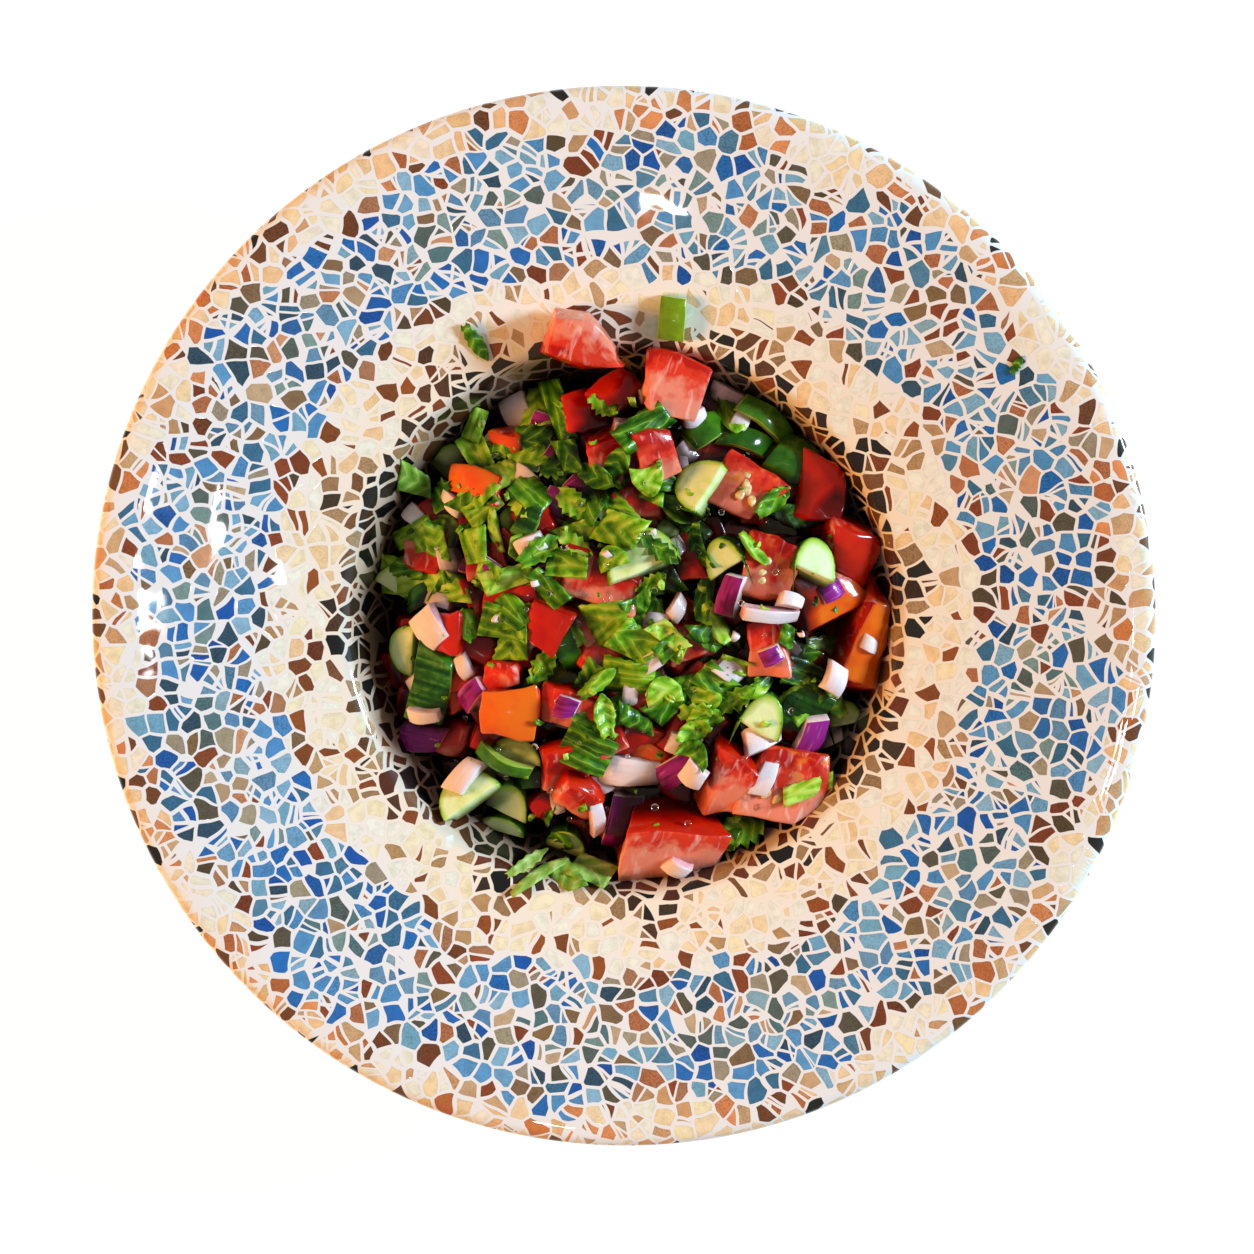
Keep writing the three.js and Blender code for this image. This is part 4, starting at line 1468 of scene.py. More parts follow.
@dataclass(frozen=True)
class ParsleyLeafFace(WetFood):
    """Flat-leaved parsley: a thin, pleated leaf with fine side veins, matt below and shiny above."""

    name: str = "parsley_leaf_upper"
    greens: Colours = ("#1c4202", "#336503", "#528808", "#78ab12", "#a2c92a", "#cade58")
    vein: str = "#d3e68a"
    vein_share: float = 0.35
    roughness: float = 0.42
    film: float = 0.4
    film_roughness: float = 0.14
    glow: float = 0.12
    glow_depth: float = 0.8
    bump_height: float = 0.04
    scatter: Triple = (0.4, 1.0, 0.15)
    vein_spacing: float = 1.4

    def make(self) -> Material:
        """Builds the material.

        Returns:
            The material.
        """
        graph = FoodGraph(self.name)
        at = graph.add("SeparateXYZ", graph.local).node.outputs
        drawn = graph.add("SeparateXYZ", graph.draw).node.outputs
        lean = graph.add("MULTIPLY_ADD", drawn[1], 2.2, 0.4)
        along = graph.add("MULTIPLY", at[0], graph.add("COSINE", lean))
        across = graph.add("MULTIPLY", graph.add("ABSOLUTE", at[1]), graph.add("SINE", lean))
        run = graph.add("ADD", along, across)
        wobble = graph.add("TexNoise", Vector=graph.own, Scale=1 / 3.0, Detail=2.0)
        run = graph.add("ADD", run, graph.add("MULTIPLY", wobble, 1.6))
        pleat = graph.add("PINGPONG", graph.add("DIVIDE", run, self.vein_spacing), 1.0)
        patch = graph.add("MULTIPLY_ADD", wobble, 0.9, -0.26)
        tone = graph.add("ADD", graph.add("MULTIPLY", drawn[0], 0.68), patch)
        # painted shade and light: the tone darkens in the troughs of the pleat relief and lightens on its
        # ridges
        tone = graph.add("ADD", tone, graph.add("MULTIPLY_ADD", pleat, 0.34, -0.12))
        line = graph.add("MULTIPLY", graph.add("SUBTRACT", pleat, 0.84), 6.0, use_clamp=True)
        line = graph.add("MULTIPLY", line, self.vein_share)
        green = graph.add("ValToRGB", tone, stops=spaced(self.greens))
        colour = graph.add("Mix", line, green, self.vein, **BLEND)
        return self.wet(graph, self.painted_depth_shade(graph, colour), pleat, 0.3)


@dataclass(frozen=True)
class JuiceAndShade(WetFood):
    """Tomato juice, oil and pulp that has run down between the pieces: dark, wet and uneven.
    The dark is partly painted shade in the gaps between the pieces.
    """

    # near black: partly the juice's own colour, partly painted shade in the gaps between the pieces
    colours: Colours = ("#0c0302", "#1c0603", "#300c05", "#160b04", "#101005")
    glow: float = 0.0
    bump_height: float = 0.5
    scatter: Triple = (1.0, 0.3, 0.1)

    def make(self) -> Material:
        """Builds the material.

        Returns:
            The material.
        """
        graph = FoodGraph("tomato_juice_pulp_and_shade")
        cloud = graph.add("TexNoise", Vector=graph.own, Scale=1 / 4.0, Detail=4.0)
        return self.wet(graph, graph.add("ValToRGB", cloud, stops=spaced(self.colours, 0.25, 0.75)))


@dataclass(frozen=True)
class TomatoSeed(WetFood):
    """Tomato seeds: pale, flat and slippery in their orange gel."""

    pale: str = "#f0d79a"
    deep: str = "#d99a4a"
    scatter: Triple = (1.0, 0.6, 0.2)

    def make(self) -> Material:
        """Builds the material.

        Returns:
            The material.
        """
        graph = FoodGraph("tomato_seed")
        cloud = graph.add("TexNoise", Vector=graph.own, Scale=1 / 1.4, Detail=2.0)
        return self.wet(graph, graph.add("ValToRGB", cloud, stops=[(0.35, self.deep), (0.65, self.pale)]))


@dataclass(frozen=True)
class ClearDressing:
    """Drops of oil and lemon juice: clear, with the light's small reflections in them."""

    colour: str = "#fff6e0"

    def make(self) -> Material:
        """Builds the material.

        Returns:
            The material.
        """
        graph = NodeGraph("oil_and_lemon_dressing")
        place = graph.add("TexCoord").node.outputs["Object"]
        sheen = graph.add("TexNoise", Vector=place, Scale=1 / (2.5 * MM), Detail=1.0)
        tint = graph.add("ValToRGB", sheen, stops=[(0.3, self.colour), (0.7, "#ffffff")])
        graph.feed(Base_Color=tint, Roughness=0.02, IOR=1.38, Transmission_Weight=1.0)
        return graph.material


# The heap

class DieFace(Enum):
    """Which side of the tomato a die shows from above."""

    FLESH = "flesh"
    SKIN = "skin"
    ORANGE = "orange"
    SEEDS = "seeds"


TOMATO_DICE = {
    DieFace.FLESH: (
        (-1, 46, 15, 11, 10, 2), (12, 64, 15, 14, -12, 3), (7, 44, 11, 11, 20, 2),
        (-31, -14, 10, 7, 10, 1), (-14, -22, 13, 11, -14, 2), (-15, -37, 14, 9, 6, 2),
        (-13, -45, 12, 9, -30, 2), (-6, 10, 20, 12, -18, 2), (39, -4, 11, 14, 5, 2),
        (27, -39, 12, 16, -15, 2), (13, -56, 21, 19, -8, 3), (18, -5, 12, 9, 20, 1),
        (-35, 16, 11, 8, 10, 1), (5, 31, 11, 9, 10, 1), (-3, -30, 11, 9, 10, 1),
    ),
    DieFace.SKIN: (
        (-9, 53, 13, 11, 0, 1), (-2, 58, 13, 11, 40, 1), (54, 35, 16, 11, 80, 2), (59, 23, 13, 13, -25, 2),
        (-43, -3, 8, 10, 0, 1), (-19, -1, 10, 12, -20, 2), (-28, 6, 11, 8, 0, 1),
    ),
    DieFace.ORANGE: (
        (-37, 35, 14, 8, -10, 1), (-28, -25, 13, 13, -4, 3), (51, 6, 19, 13, 25, 1), (62, -6, 29, 12, 68, 3),
    ),
    DieFace.SEEDS: ((31, 33, 15, 15, -35, 3), (38, 11, 12, 15, -15, 2), (43, -44, 20, 16, -12, 2)),
}
CUCUMBER_SLICES = (
    (21, 34, 15, 10, 70, 4), (29, 19, 11, 9, 20, 3), (48, 16, 12, 10, -15, 2), (5, 18, 20, 12, 8, 2),
    (-27, -33, 15, 8, -8, 1), (-42, -48, 18, 9, 38, 3), (-30, -46, 12, 11, -10, 2), (38, -24, 12, 11, -20, 3),
    (-32, -54, 14, 5, -8, 1), (-15, -58, 12, 7, -14, 2), (56, -24, 10, 8, 30, 1), (-57, -8, 15, 8, 85, 1),
)
CUCUMBER_SKINS = ((-51, -17, 20, 9, 76, 2), (48, -23, 12, 11, 60, 1), (-24, 26, 12, 6, 65, 1))
PEPPER_STRIPS = (
    (37, 53, 17, 6, -40, 2), (45, 42, 14, 11, 50, 2), (22, 50, 13, 8, 25, 1), (32, 47, 14, 6, -20, 1),
    (24, -57, 12, 6, -65, 1), (-31, -37, 16, 4, -25, 2), (30, -61, 8, 5, 60, 1),
)
PURPLE_ONIONS = (
    (-39, -20, 9, 6, 50, 2), (-14, -22, 6, 6, -10, 4), (-55, -33, 12, 9, -8, 2), (0, -54, 17, 8, 75, 2),
    (30, 8, 12, 6, 75, 3), (50, -30, 12, 7, 68, 3), (16, -39, 14, 7, 35, 3), (40, -8, 6, 5, 25, 4),
)
WHITE_ONIONS = (
    (31, 59, 16, 5, -25, 1), (-50, -2, 11, 9, -50, 2), (-42, -43, 11, 6, 50, 3), (39, 4, 16, 4, -5, 4),
    (56, -15, 8, 6, 70, 4), (37, -32, 11, 7, 15, 2), (2, -40, 16, 8, -5, 2), (-56, 27, 6, 5, -40, 2),
    (18, 55, 7, 5, 15, 3), (8, 58, 10, 4, -10, 2), (-42, -12, 7, 4, -65, 2), (-17, -49, 7, 4, -80, 1),
    (-8, -53, 11, 4, -85, 2), (44, 6, 7, 4, -20, 4), (65, -6, 5, 4, -35, 5), (38, -42, 10, 5, 65, 4),
    (20, -40, 7, 7, -40, 3), (15, -66, 7, 5, -30, 4), (14, 4, 7, 4, 60, 2), (-24, 21, 8, 5, 20, 2),
    (-53, -25, 9, 4, 0, 3), (8, -10, 9, 5, 30, 2), (28, -13, 8, 6, -40, 2),
)
PARSLEY_LEAVES = {
    LeafCut.STRIP: (
        (-23, 57, 11, 8, 85, 2), (-17, 56, 17, 6, -68, 3), (-24, 48, 11, 8, 5, 2), (-39, 44, 13, 7, -60, 2),
        (-56, 37, 9, 7, -28, 3), (-57, 23, 12, 5, 30, 3), (-37, 30, 11, 6, 35, 2), (-10, 32, 11, 10, 50, 3),
        (-11, 24, 12, 6, 20, 2), (0, 25, 12, 9, -15, 3), (6, 52, 15, 8, 35, 4), (-32, 39, 9, 7, 20, 3),
        (-24, 34, 11, 8, -40, 3), (-14, 16, 11, 7, -10, 3), (-54, 10, 26, 9, -8, 3), (-30, 12, 14, 6, 15, 3),
        (-31, 0, 13, 9, -10, 3), (-29, -5, 11, 8, 80, 3), (-3, 1, 12, 11, 20, 3), (4, -5, 12, 9, -30, 3),
        (2, -14, 14, 9, -5, 3), (4, -26, 10, 5, -30, 4), (-9, -34, 14, 12, -25, 2), (-6, -26, 11, 7, 20, 3),
        (18, -18, 13, 8, 20, 3), (12, -22, 11, 7, 40, 3), (26, -16, 12, 7, -35, 3), (49, -14, 11, 7, -20, 2),
        (48, -21, 11, 9, 40, 2), (-15, -69, 9, 6, -40, 3), (-8, -68, 11, 6, -20, 3), (50, -45, 14, 5, 18, 3),
        (-40, 52, 9, 5, 70, 3), (44, -3, 6, 4, 80, 5), (-14, 44, 9, 6, -70, 4), (13, -3, 10, 5, -40, 4),
    ),
    LeafCut.LEAFLET: (
        (-3, 58, 8, 5, 28, 3), (10, 38, 11, 7, -20, 3), (-1, 42, 10, 8, 60, 3), (-17, 41, 11, 8, 10, 3),
        (-7, 39, 11, 8, -25, 3), (-22, 19, 12, 8, 35, 3), (45, 28, 14, 8, -15, 3), (40, 32, 11, 7, 40, 3),
        (30, -21, 13, 7, 35, 3), (21, -25, 12, 9, -10, 3), (32, -57, 13, 12, 20, 3), (-17, -61, 7, 6, -30, 3),
        (10, 20, 12, 6, -35, 3), (51, 5, 4, 3, 60, 3), (-26, -66, 12, 4, 30, 3),
    ),
    LeafCut.SHRED: (
        (5, 5, 9, 5, 30, 4), (18, 26, 13, 5, -30, 3), (20, 20, 13, 4, -70, 4), (22, 7, 13, 5, 78, 4),
        (25, 0, 12, 5, -60, 4), (32, -12, 12, 4, -20, 4), (20, -34, 9, 5, -30, 3), (-23, -69, 16, 3, 30, 3),
        (35, 20, 11, 3, -50, 4), (-34, 24, 12, 3, -75, 4), (36, -18, 10, 4, 24, 3),
    ),
}


def of_layer(rows: Iterable[Sequence[float]], layer: int) -> Iterable[Sequence[float]]:
    """Picks the rows that lie in one layer."""
    return (row for row in rows if row[5] == layer)


@dataclass
class SaladHeap:
    """The chopped salad: a wet core that is dark partly as painted shade, a layer of unseen cuts, and the
    pieces that show.
    """

    bowl: Bowl
    crown: float = 44.5
    shore: float = 23.0
    shore_radius: float = 69.0
    shift: tuple[float, float] = (1.0, 1.0)
    clearance: float = 0.4
    core_depth: float = 9.0
    core_radius: float = 67.0
    core_steps: int = 90
    core_bottom: float = 8.2
    core_taper: float = 0.7
    core_roughness: float = 1.6
    core_lumps: float = 7.0
    core_reach: float = 60.0
    hidden_cuts: int = 150
    hidden_spread: float = 63.0
    small_leaves: int = 90
    top_leaves: int = 90
    leaf_clearance: float = 6.5
    greens: tuple[tuple[float, ...], ...] = ((-16, 20, 40, 29), (14, -14, 34, 17))
    stray_green: float = 0.16
    small_onions: int = 26
    crumbs: int = 70
    drops: int = 90
    spread: float = 64.0
    leaf_thickness: float = 0.32
    purple: float = 0.1
    white: float = 0.9
    seed: int = 11
    knife: Knife = field(default_factory=Knife)
    tomato_knife: Knife = field(
        default_factory=lambda: Knife(unevenness=0.19, edge=0.8, swell=1.3, ripple=0.6))
    cutter: ParsleyCutter = field(default_factory=ParsleyCutter)

    def __post_init__(self) -> None:
        """Makes the finishes, the bare ground, and an empty collection for each kind of piece."""
        self.draws = random.Random(self.seed)
        self.showing: list[Placement] = []
        self.ground = HeightField(self.ground_height)
        cucumber, onion = CucumberFlesh().make(), OnionLayer().make()
        pepper = PepperWall(name="green_pepper_cut_wall",
                            colours=("#5f8a1e", "#86a82c", "#a9c048", "#b9c85a"))
        parsley = ParsleyLeafFace()
        under = ParsleyLeafFace(name="parsley_leaf_under", film=0.1, roughness=0.5,
                                greens=("#3f6a18", "#54801e", "#6c962a", "#86ab3c", "#9cba50", "#b6cc70"))
        self.tomato = Cuttings("tomato_dice", [TomatoFlesh().make(), TomatoSkin().make()])
        self.cucumber = Cuttings("cucumber_pieces", [cucumber, CucumberSkin().make()])
        self.pepper = Cuttings("green_pepper_strips", [pepper.make(), PepperWall().make()])
        self.onion = Cuttings("red_onion_pieces", [onion, OnionSkin().make()])
        self.parsley = Cuttings("parsley_leaves", [parsley.make(), under.make()])
        self.juice = Cuttings("salad_juice_and_shade", [JuiceAndShade().make()])
        self.seeds = Cuttings("tomato_seeds", [TomatoSeed().make()])
        self.dressing = Cuttings("dressing_drops", [ClearDressing().make()])

    def heap_height(self, x: Reals, y: Reals) -> Reals:
        """Gives the height of the salad's bulk before any piece is laid on it."""
        share = np.hypot(x - self.shift[0], y - self.shift[1]) / self.shore_radius
        return self.shore + (self.crown - self.shore) * np.clip(1 - share * share, 0, None) ** 0.8

    def ground_height(self, x: Reals, y: Reals) -> Reals:
        """Gives the height of what pieces rest on: the salad's bulk or the bowl."""
        return np.maximum(self.heap_height(x, y), self.bowl.top_height(np.hypot(x, y)) + self.clearance)

    def build(self) -> list[Object]:
        """Builds the whole heap.

        Returns:
            One object for each kind of piece.
        """
        self._pour_juice_and_shade()
        self._fill_below()
        for layer in range(1, 6):
            self._lay_vegetables(layer)
            self._lay_leaves(layer)
            if layer == 1:
                self._scatter_onions()
                self._scatter_leaves(self.small_leaves, 0.0)
            if layer == 3:
                self._scatter_leaves(self.top_leaves, self.leaf_clearance)
        self._scatter_crumbs()
        self._scatter_drops()
        kinds = (self.juice, self.tomato, self.cucumber, self.pepper, self.onion, self.parsley, self.seeds,
                 self.dressing)
        # the heap's top that the finishes' painted shade is measured down from
        canopy = self.ground.canopy(4, 69.0)
        pieces = [kind.finish(self.bowl, canopy=canopy) for kind in kinds]
        thicken(pieces[kinds.index(self.parsley)], self.leaf_thickness, 0)
        return pieces

    def _pour_juice_and_shade(self) -> None:
        """Makes the core, a rough wet dome below the pieces, dark partly as painted shade in the gaps."""
        core = bmesh.new()
        bmesh.ops.create_grid(core, x_segments=self.core_steps, y_segments=self.core_steps, size=1.0)
        for vert in core.verts:
            x, y = vert.co.x, vert.co.y
            rounding = max(abs(x), abs(y)) / max(math.hypot(x, y), 1e-6)
            x, y = x * rounding * self.core_radius, y * rounding * self.core_radius
            top = float(self.heap_height(x, y)) - self.core_depth
            lumps = noise.fractal(Vector((x, y, 0)) / self.core_lumps, 0.6, 2.0, 3)
            vert.co = (x, y, top + lumps * self.core_roughness)
        rim = [edge for edge in core.edges if edge.is_boundary]
        skirt = bmesh.ops.extrude_edge_only(core, edges=rim)["geom"]
        for vert in (item for item in skirt if isinstance(item, BMVert)):
            vert.co = (vert.co.x * self.core_taper, vert.co.y * self.core_taper, self.core_bottom)
        bottom = [edge for edge in core.edges if edge.is_boundary]
        bmesh.ops.edgeloop_fill(core, edges=bottom)
        bmesh.ops.recalc_face_normals(core, faces=core.faces)
        Cuttings.mark(core, self.core_reach, (0.5, 0.5))
        self.juice.add(core)

    def _spiral(self, count: int, spread: float) -> Iterable[tuple[float, float]]:
        """Gives places evenly spread over the heap, each moved a little.

        Args:
            count: how many.
            spread: the radius that they fill.

        Yields:
            x and y.
        """
        for i in range(count):
            radius = spread * math.sqrt((i + 0.5) / count)
            x, y = radius * math.cos(i * GOLDEN_ANGLE), radius * math.sin(i * GOLDEN_ANGLE)
            yield x + self.shift[0] + self.draws.uniform(-2, 2), y + self.shift[1] + self.draws.uniform(-2, 2)

    def _fill_below(self) -> None:
        """Lays random cuts whose tops reach about the height of the heap's bulk."""
        for x, y in self._spiral(self.hidden_cuts, self.hidden_spread):
            draws = self.draws
            length, width = draws.uniform(10, 14), draws.uniform(8, 12)
            thickness = 0.75 * width
            height = float(self.heap_height(x, y)) - thickness + draws.uniform(-2.5, 1.0)
            tilt = [draws.uniform(-0.35, 0.35) for _ in range(2)]
            turn = draws.uniform(0, math.tau)
            rest = Rest(x, y, math.cos(turn), math.sin(turn), tilt[0], tilt[1], height)
            kind = draws.random()
            if kind < 0.5:
                shape = self.tomato_knife.skin_up if draws.random() < 0.4 else self.tomato_knife.block
                self.tomato.add(shape(length, width, thickness, draws), rest.matrix())
            elif kind < 0.68:
                self.cucumber.add(self.knife.slice(length, width, 6.5, draws), rest.matrix())
            elif kind < 0.88:
                self.onion.add(self.knife.plate(length, 0.7 * width, 2.6, 1.5, draws), rest.matrix(-4.0))
            else:
                self.pepper.add(self.knife.plate(length, 0.7 * width, 2.6, 3.0, draws), rest.matrix(-4.0))

    def _lay(self, kind: Cuttings, row: Sequence[float], thickness: float, sink: float,
             shape: Callable[[float, float, float], BMesh]) -> Matrix:
        """Lays one piece on the heap.

        Args:
            kind: the kind that it joins.
            row: its place, size, turn and layer.
            thickness: its thickness.
            sink: the share of that which presses in.
            shape: cuts it from its length, width and thickness.

        Returns:
            The matrix that laid it.
        """
        placement = Placement(*row)
        rest = self.ground.settle(placement)
        matrix = rest.matrix(sink * thickness)
        kind.add(shape(placement.length, placement.width, thickness), matrix)
        self.ground.lift(rest, placement, (1 - sink) * thickness)
        self.showing.append(placement)
        return matrix

    def _lay_vegetables(self, layer: int) -> None:
        """Lays the vegetables of one layer.

        Args:
            layer: the layer.
        """
        for face, rows in TOMATO_DICE.items():
            for row in of_layer(rows, layer):
                self._lay_tomato(face, row)
        draws, knife = self.draws, self.knife
        cuts = (
            (CUCUMBER_SLICES, self.cucumber, 7.0, 0.45, lambda *size: knife.slice(*size, draws)),
            (CUCUMBER_SKINS, self.cucumber, 7.0, 0.4, lambda *size: knife.skin_up(*size, draws)),
            (PEPPER_STRIPS, self.pepper, 2.6, 0.2, lambda *size: knife.plate(*size, 3.0, draws, 10)),
            (PURPLE_ONIONS, self.onion, 2.8, 0.3, lambda *size: self._onion(*size, self.purple)),
            (WHITE_ONIONS, self.onion, 2.8, 0.3, lambda *size: self._onion(*size, self.white)),
        )
        for rows, kind, thickness, sink, shape in cuts:
            for row in of_layer(rows, layer):
                self._lay(kind, row, thickness, sink, shape)

    def _onion(self, length: float, width: float, thickness: float, colour: float) -> BMesh:
        """Cuts a piece of onion, with a low colour for a purple outer face and a high one for white."""
        piece = self.knife.plate(length, width, thickness, 1.3, self.draws)
        return Cuttings.retone(piece, 1, colour)

    def _lay_tomato(self, face: DieFace, row: Sequence[float]) -> None:
        """Lays a die of tomato with the right side up, and seeds on it where it has them.

        Args:
            face: the side that shows.
            row: its place, size, turn and layer.
        """
        draws = self.draws
        knife = self.tomato_knife
        up = knife.skin_up if face in (DieFace.SKIN, DieFace.ORANGE) else knife.block
        ripe = {DieFace.FLESH: (0.0, 0.42), DieFace.SKIN: (0.0, 0.4), DieFace.ORANGE: (0.8, 1.0),
                DieFace.SEEDS: (0.5, 0.8)}[face]

        def shape(length: float, width: float, thickness: float) -> BMesh:
            """Cuts the die and sets how ripe it looks."""
            piece = up(length, width, thickness, draws)
            return Cuttings.retone(piece, 1, draws.uniform(*ripe))

        thickness = 0.8 * row[3]
        matrix = self._lay(self.tomato, row, thickness, 0.4, shape)
        if face is DieFace.SEEDS:
            for _ in range(5):
                spot = (draws.uniform(-0.3, 0.3) * row[2], draws.uniform(-0.3, 0.2) * row[3], thickness + 0.1)
                self._add_seed(matrix @ Matrix.Translation(spot))

    def _add_seed(self, matrix: Matrix) -> None:
        """Puts down one tomato seed.

        Args:
            matrix: its place.
        """
        seed = bmesh.new()
        bmesh.ops.create_icosphere(seed, subdivisions=2, radius=1.0)
        for vert in seed.verts:
            vert.co.y *= 1 - 0.35 * vert.co.x
        bmesh.ops.scale(seed, vec=(1.7, 1.15, 0.55), verts=seed.verts)
        Cuttings.mark(seed, 1.0, (self.draws.random(), self.draws.random()))
        self.seeds.add(seed, matrix @ Matrix.Rotation(self.draws.uniform(0, math.tau), 4, "Z"))

    def _lay_leaves(self, layer: int) -> None:
        """Drapes the parsley of one layer.

        Args:
            layer: the layer.
        """
        for cut, rows in PARSLEY_LEAVES.items():
            for row in of_layer(rows, layer):
                self._drape(cut, Placement(*row))

    def _drape(self, cut: LeafCut, placement: Placement) -> None:
        """Drapes one leaf cut.

        Args:
            cut: its kind.
            placement: its place and size.
        """
        rest = self.ground.settle(placement)
        self.parsley.add(self.cutter.sheet(cut, rest, placement, self.ground, self.draws))
        self.ground.lift(rest, placement, 0.3)

    def _scatter_onions(self) -> None:
        """Scatters small onion cuts that the listed ones leave room for."""
        for x, y in self._spiral(self.small_onions, self.spread - 4):
            row = (x, y, self.draws.uniform(5, 9), self.draws.uniform(4, 6), self.draws.uniform(0, 360), 2)
            colour = self.purple if self.draws.random() < 0.2 else self.white
            self._lay(self.onion, row, 2.6, 0.4, lambda *size: self._onion(*size, colour))

    def green_share(self, x: float, y: float) -> float:
        """Gives how much of the salad's top is parsley at a place, from 0 to 1."""
        near = min(math.hypot((x - u) / half_u, (y - v) / half_v) for u, v, half_u, half_v in self.greens)
        return 1.0 if near < 1 else self.stray_green

    def _scatter_leaves(self, count: int, clearance: float) -> None:
        """Scatters small cuts of parsley, thickest where the salad is green.

        Args:
            count: how many places are tried.
            clearance: how far they stay from the middle of the vegetables that show.
        """
        cuts = [LeafCut.STRIP, LeafCut.STRIP, LeafCut.LEAFLET, LeafCut.SHRED]
        showing = [piece for piece in self.showing if piece.layer > 1]
        for x, y in self._spiral(count, self.spread):
            near = min((math.hypot(x - piece.x, y - piece.y) for piece in showing), default=math.inf)
            if near >= clearance and self.draws.random() < self.green_share(x, y):
                placement = Placement(x, y, self.draws.uniform(8, 13), self.draws.uniform(5, 9),
                                      self.draws.uniform(0, 360))
                self._drape(self.draws.choice(cuts), placement)

    def _scatter_crumbs(self) -> None:
        """Scatters the finest bits of leaf and onion over everything."""
        for x, y in self._spiral(self.crumbs, self.spread):
            size = self.draws.uniform(1.2, 3.0)
            placement = Placement(x, y, size, 0.6 * size, self.draws.uniform(0, 360))
            if self.draws.random() < 0.94:
                self._drape(self.draws.choice([LeafCut.STRIP, LeafCut.SHRED]), placement)
            else:
                row = (x, y, size, 0.8 * size, placement.turn, 5)
                self._lay(self.onion, row, 1.0, 0.2, lambda *size: self._onion(*size, self.white))

    def _scatter_drops(self) -> None:
        """Beads small drops of dressing on the pieces."""
        for x, y in self._spiral(self.drops, self.spread - 2):
            size = self.draws.uniform(0.4, 1.1)
            rest = self.ground.settle(Placement(x, y, 2.0, 2.0, 0))
            drop = bmesh.new()
            bmesh.ops.create_icosphere(drop, subdivisions=2, radius=size)
            bmesh.ops.scale(drop, vec=(1, 1, 0.5), verts=drop.verts)
            Cuttings.mark(drop, 1.0, (0.5, 0.5))
            self.dressing.add(drop, rest.matrix())


# The pieces on the rim

@dataclass
class RimPieces:
    """The four pieces that fell on the rim: a wedge of tomato, a strip of pepper and two bits of parsley."""

    bowl: Bowl
    heap: SaladHeap
    tomato: Placement = Placement(-9, 79, 21, 13, -14)
    pepper: Placement = Placement(13.5, 80.5, 11.5, 7, 86)
    leaf: Placement = Placement(-38.5, 74.3, 11, 6, -57)
    fleck: Placement = Placement(103, 68, 5, 3.5, 60)
    wedge_height: float = 0.75
    pepper_wall: float = 2.2
    leaf_tone: float = 0.15
    leaf_thickness: float = 0.35
    seed: int = 5

    def __post_init__(self) -> None:
        """Makes the bare rim that the pieces lie on."""
        self.draws = random.Random(self.seed)
        self.rim = HeightField(lambda x, y: self.bowl.top_height(np.hypot(x, y)) + 0.25)

    def build(self) -> list[Object]:
        """Builds the four pieces."""
        return [self._wedge(), self._strip(), self._parsley("rim_parsley_leaf", self.leaf),
                self._parsley("rim_parsley_fleck", self.fleck)]

    def _wedge(self) -> Object:
        """Builds the wedge of tomato, which narrows to its right end.

        Returns:
            The wedge.
        """
        place = self.tomato
        kind = Cuttings("rim_tomato_wedge_cut", self.heap.tomato.materials)
        height = self.wedge_height * place.width
        piece = Knife(swell=1.6).block(place.length, place.width, height, self.draws, 5)
        for vert in piece.verts:
            s = vert.co.x * 2 / place.length
            narrow = 1 - 0.8 * max(0.0, s) ** 1.3
            vert.co.y = vert.co.y * narrow + 0.34 * place.width * max(0.0, s)
            vert.co.z *= 1 - 0.45 * max(0.0, s) ** 1.5
            vert.co.y = -vert.co.y
        bmesh.ops.reverse_faces(piece, faces=piece.faces)
        bmesh.ops.translate(piece, vec=(0, -0.2 * place.width, 0), verts=piece.verts)
        kind.add(piece, self.rim.settle(place, 1.0).matrix())
        return kind.finish(self.bowl, "rim_tomato_wedge")

    def _strip(self) -> Object:
        """Builds the strip of light green pepper.

        Returns:
            The strip.
        """
        skin = PepperWall(name="light_green_pepper_skin",
                          colours=("#5f7e0a", "#76940e", "#8aa616", "#9eb62a"))
        wall = PepperWall(name="light_green_pepper_cut",
                          colours=("#a3bb44", "#b5c95a", "#c2d272", "#cddb86"))
        kind = Cuttings("rim_pepper_strip_cut", [wall.make(), skin.make()])
        knife = Knife(skew=0.2)
        piece = knife.plate(self.pepper.length, self.pepper.width, self.pepper_wall, 1.0, self.draws)
        kind.add(piece, self.rim.settle(self.pepper, 1.0).matrix())
        return kind.finish(self.bowl, "rim_pepper_strip")

    def _parsley(self, node: str, place: Placement) -> Object:
        """Builds one bit of parsley on the rim.

        Args:
            node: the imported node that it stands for.
            place: its place and size.

        Returns:
            The leaf.
        """
        kind = Cuttings(node + "_cut", self.heap.parsley.materials)
        rest = self.rim.settle(place, 1.0)
        cutter = ParsleyCutter(steps_v=6, tooth=0.4)
        sheet = cutter.sheet(LeafCut.LEAFLET, rest, place, self.rim, self.draws)
        kind.add(Cuttings.retone(sheet, 0, self.leaf_tone))
        leaf = kind.finish(self.bowl, node)
        thicken(leaf, self.leaf_thickness, 1)
        return leaf


# The studio

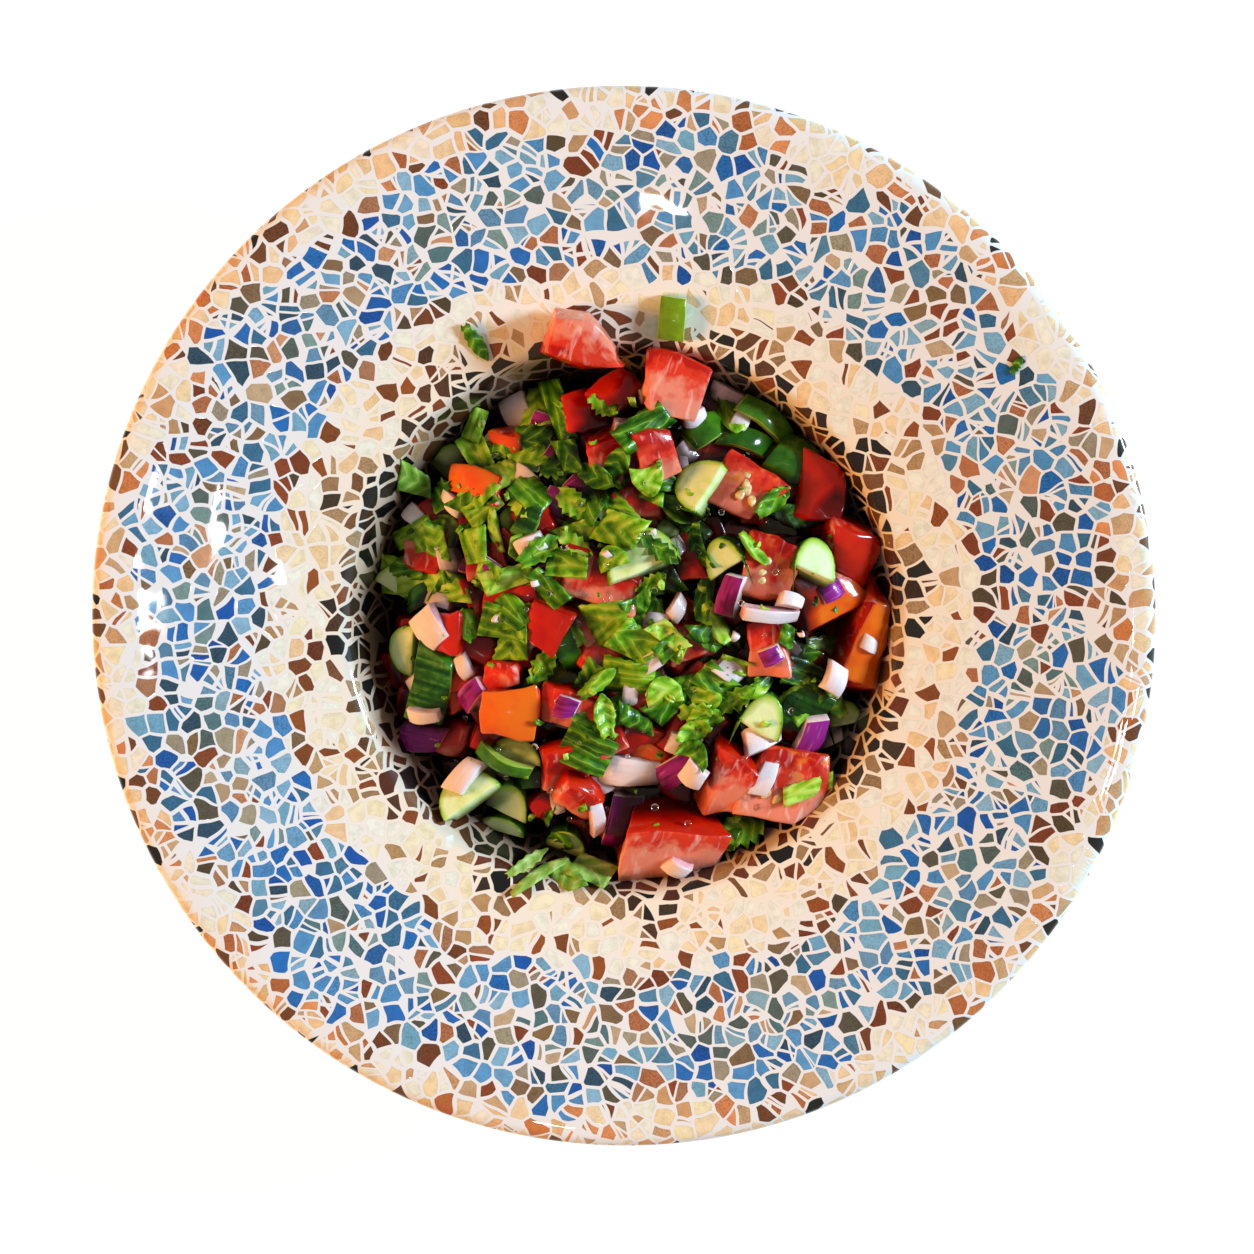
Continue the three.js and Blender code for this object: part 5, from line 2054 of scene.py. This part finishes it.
@dataclass
class Studio:
    """A white table between two soft windows, cool on the right and warm on the left.

    A few small lamps overhead give the glaze its bright dots. The camera looks almost straight down.
    """

    lens: float = 82.0
    distance: float = 0.75
    tilt: float = math.radians(6)
    lean: tuple[float, float] = (0.4, 0.92)
    aim: Triple = (1.95, -0.4, 53.5)
    table: float = 3.0
    lamp_height: float = 1.1
    lamp_size: float = 0.009
    lamp_power: float = 0.019
    room_light: float = 0.22
    lamps: tuple[tuple[float, float], ...] = (
        (0.041, -0.123), (0.081, -0.133), (0.089, -0.130), (0.132, -0.126), (0.052, -0.1), (-0.063, -0.241))

    def build(self) -> None:
        """Builds the table, the lights and the camera."""
        self._floor()
        self._camera()
        self._light("cool_window_right", (1.38, 0.3, 0.62), 0.35, 39.0, "#c4e4ff")
        warm = self._light("warm_window_left", (-1.4, -0.1, 0.68), 0.4, 27.0, "#ffbb66")
        warm.visible_glossy = False
        for i, (x, y) in enumerate(self.lamps):
            self._light(f"lamp_{i}", (x, y, self.lamp_height), self.lamp_size, self.lamp_power, "#ffffff")
        world = bpy.data.worlds.new("soft_room_light")
        bpy.context.scene.world = world
        world.use_nodes = True
        sky = world.node_tree.nodes["Background"]
        sky.inputs["Color"].default_value = hex_colour("#fffaf4")
        sky.inputs["Strength"].default_value = self.room_light
        bpy.context.scene.view_settings.view_transform = "Standard"

    def _floor(self) -> None:
        """Lays the white table top."""
        bm = bmesh.new()
        bmesh.ops.create_grid(bm, x_segments=1, y_segments=1, size=self.table)
        mesh = bpy.data.meshes.new("table_top")
        bm.to_mesh(mesh)
        bm.free()
        floor = bpy.data.objects.new("table_top", mesh)
        bpy.context.scene.collection.objects.link(floor)
        graph = NodeGraph("matt_white_table")
        graph.feed(Base_Color="#5c5c5c", Roughness=0.9, Specular_IOR_Level=0.1,
                   Emission_Color="#ffffff", Emission_Strength=0.95)
        mesh.materials.append(graph.material)

    def _camera(self) -> None:
        """Places the camera at the photograph's angle."""
        aim = Vector(self.aim) * MM
        sideways = math.sin(self.tilt)
        back = Vector((self.lean[0] * sideways, self.lean[1] * sideways, math.cos(self.tilt))).normalized()
        right = Vector((0, 1, 0)).cross(back).normalized()
        camera = bpy.data.objects.new("camera", bpy.data.cameras.new("camera"))
        camera.data.lens = self.lens
        camera.matrix_world = Matrix.Translation(aim + back * self.distance) @ Matrix(
            (right, back.cross(right), back)).transposed().to_4x4()
        bpy.context.scene.collection.objects.link(camera)
        bpy.context.scene.camera = camera

    def _light(self, name: str, place: Triple, size: float, power: float, colour: str) -> Object:
        """Hangs a square light that points at the bowl.

        Args:
            name: its name.
            place: where it hangs, in metres.
            size: its side in metres.
            power: its power in watts.
            colour: its hex colour.

        Returns:
            The light's object.
        """
        data = bpy.data.lights.new(name, "AREA")
        data.size = size
        data.energy = power
        data.color = hex_colour(colour)[:3]
        light = bpy.data.objects.new(name, data)
        light.location = place
        light.rotation_euler = (Vector((0, 0, 0.05)) - Vector(place)).to_track_quat("-Z", "Y").to_euler()
        bpy.context.scene.collection.objects.link(light)
        return light


def main() -> None:
    """Builds the studio, the bowl and the salad, and notes their size.

    The noise that ripples the cuts is seeded first, because without a seed it follows the clock.
    """
    logging.basicConfig(level=logging.INFO, format="%(message)s")
    noise.seed_set(RIPPLE_SEED)
    Studio().build()
    bowl = Bowl()
    bowl.build()
    heap = SaladHeap(bowl)
    heap.build()
    RimPieces(bowl, heap).build()


if __name__ == "__main__":
    main()
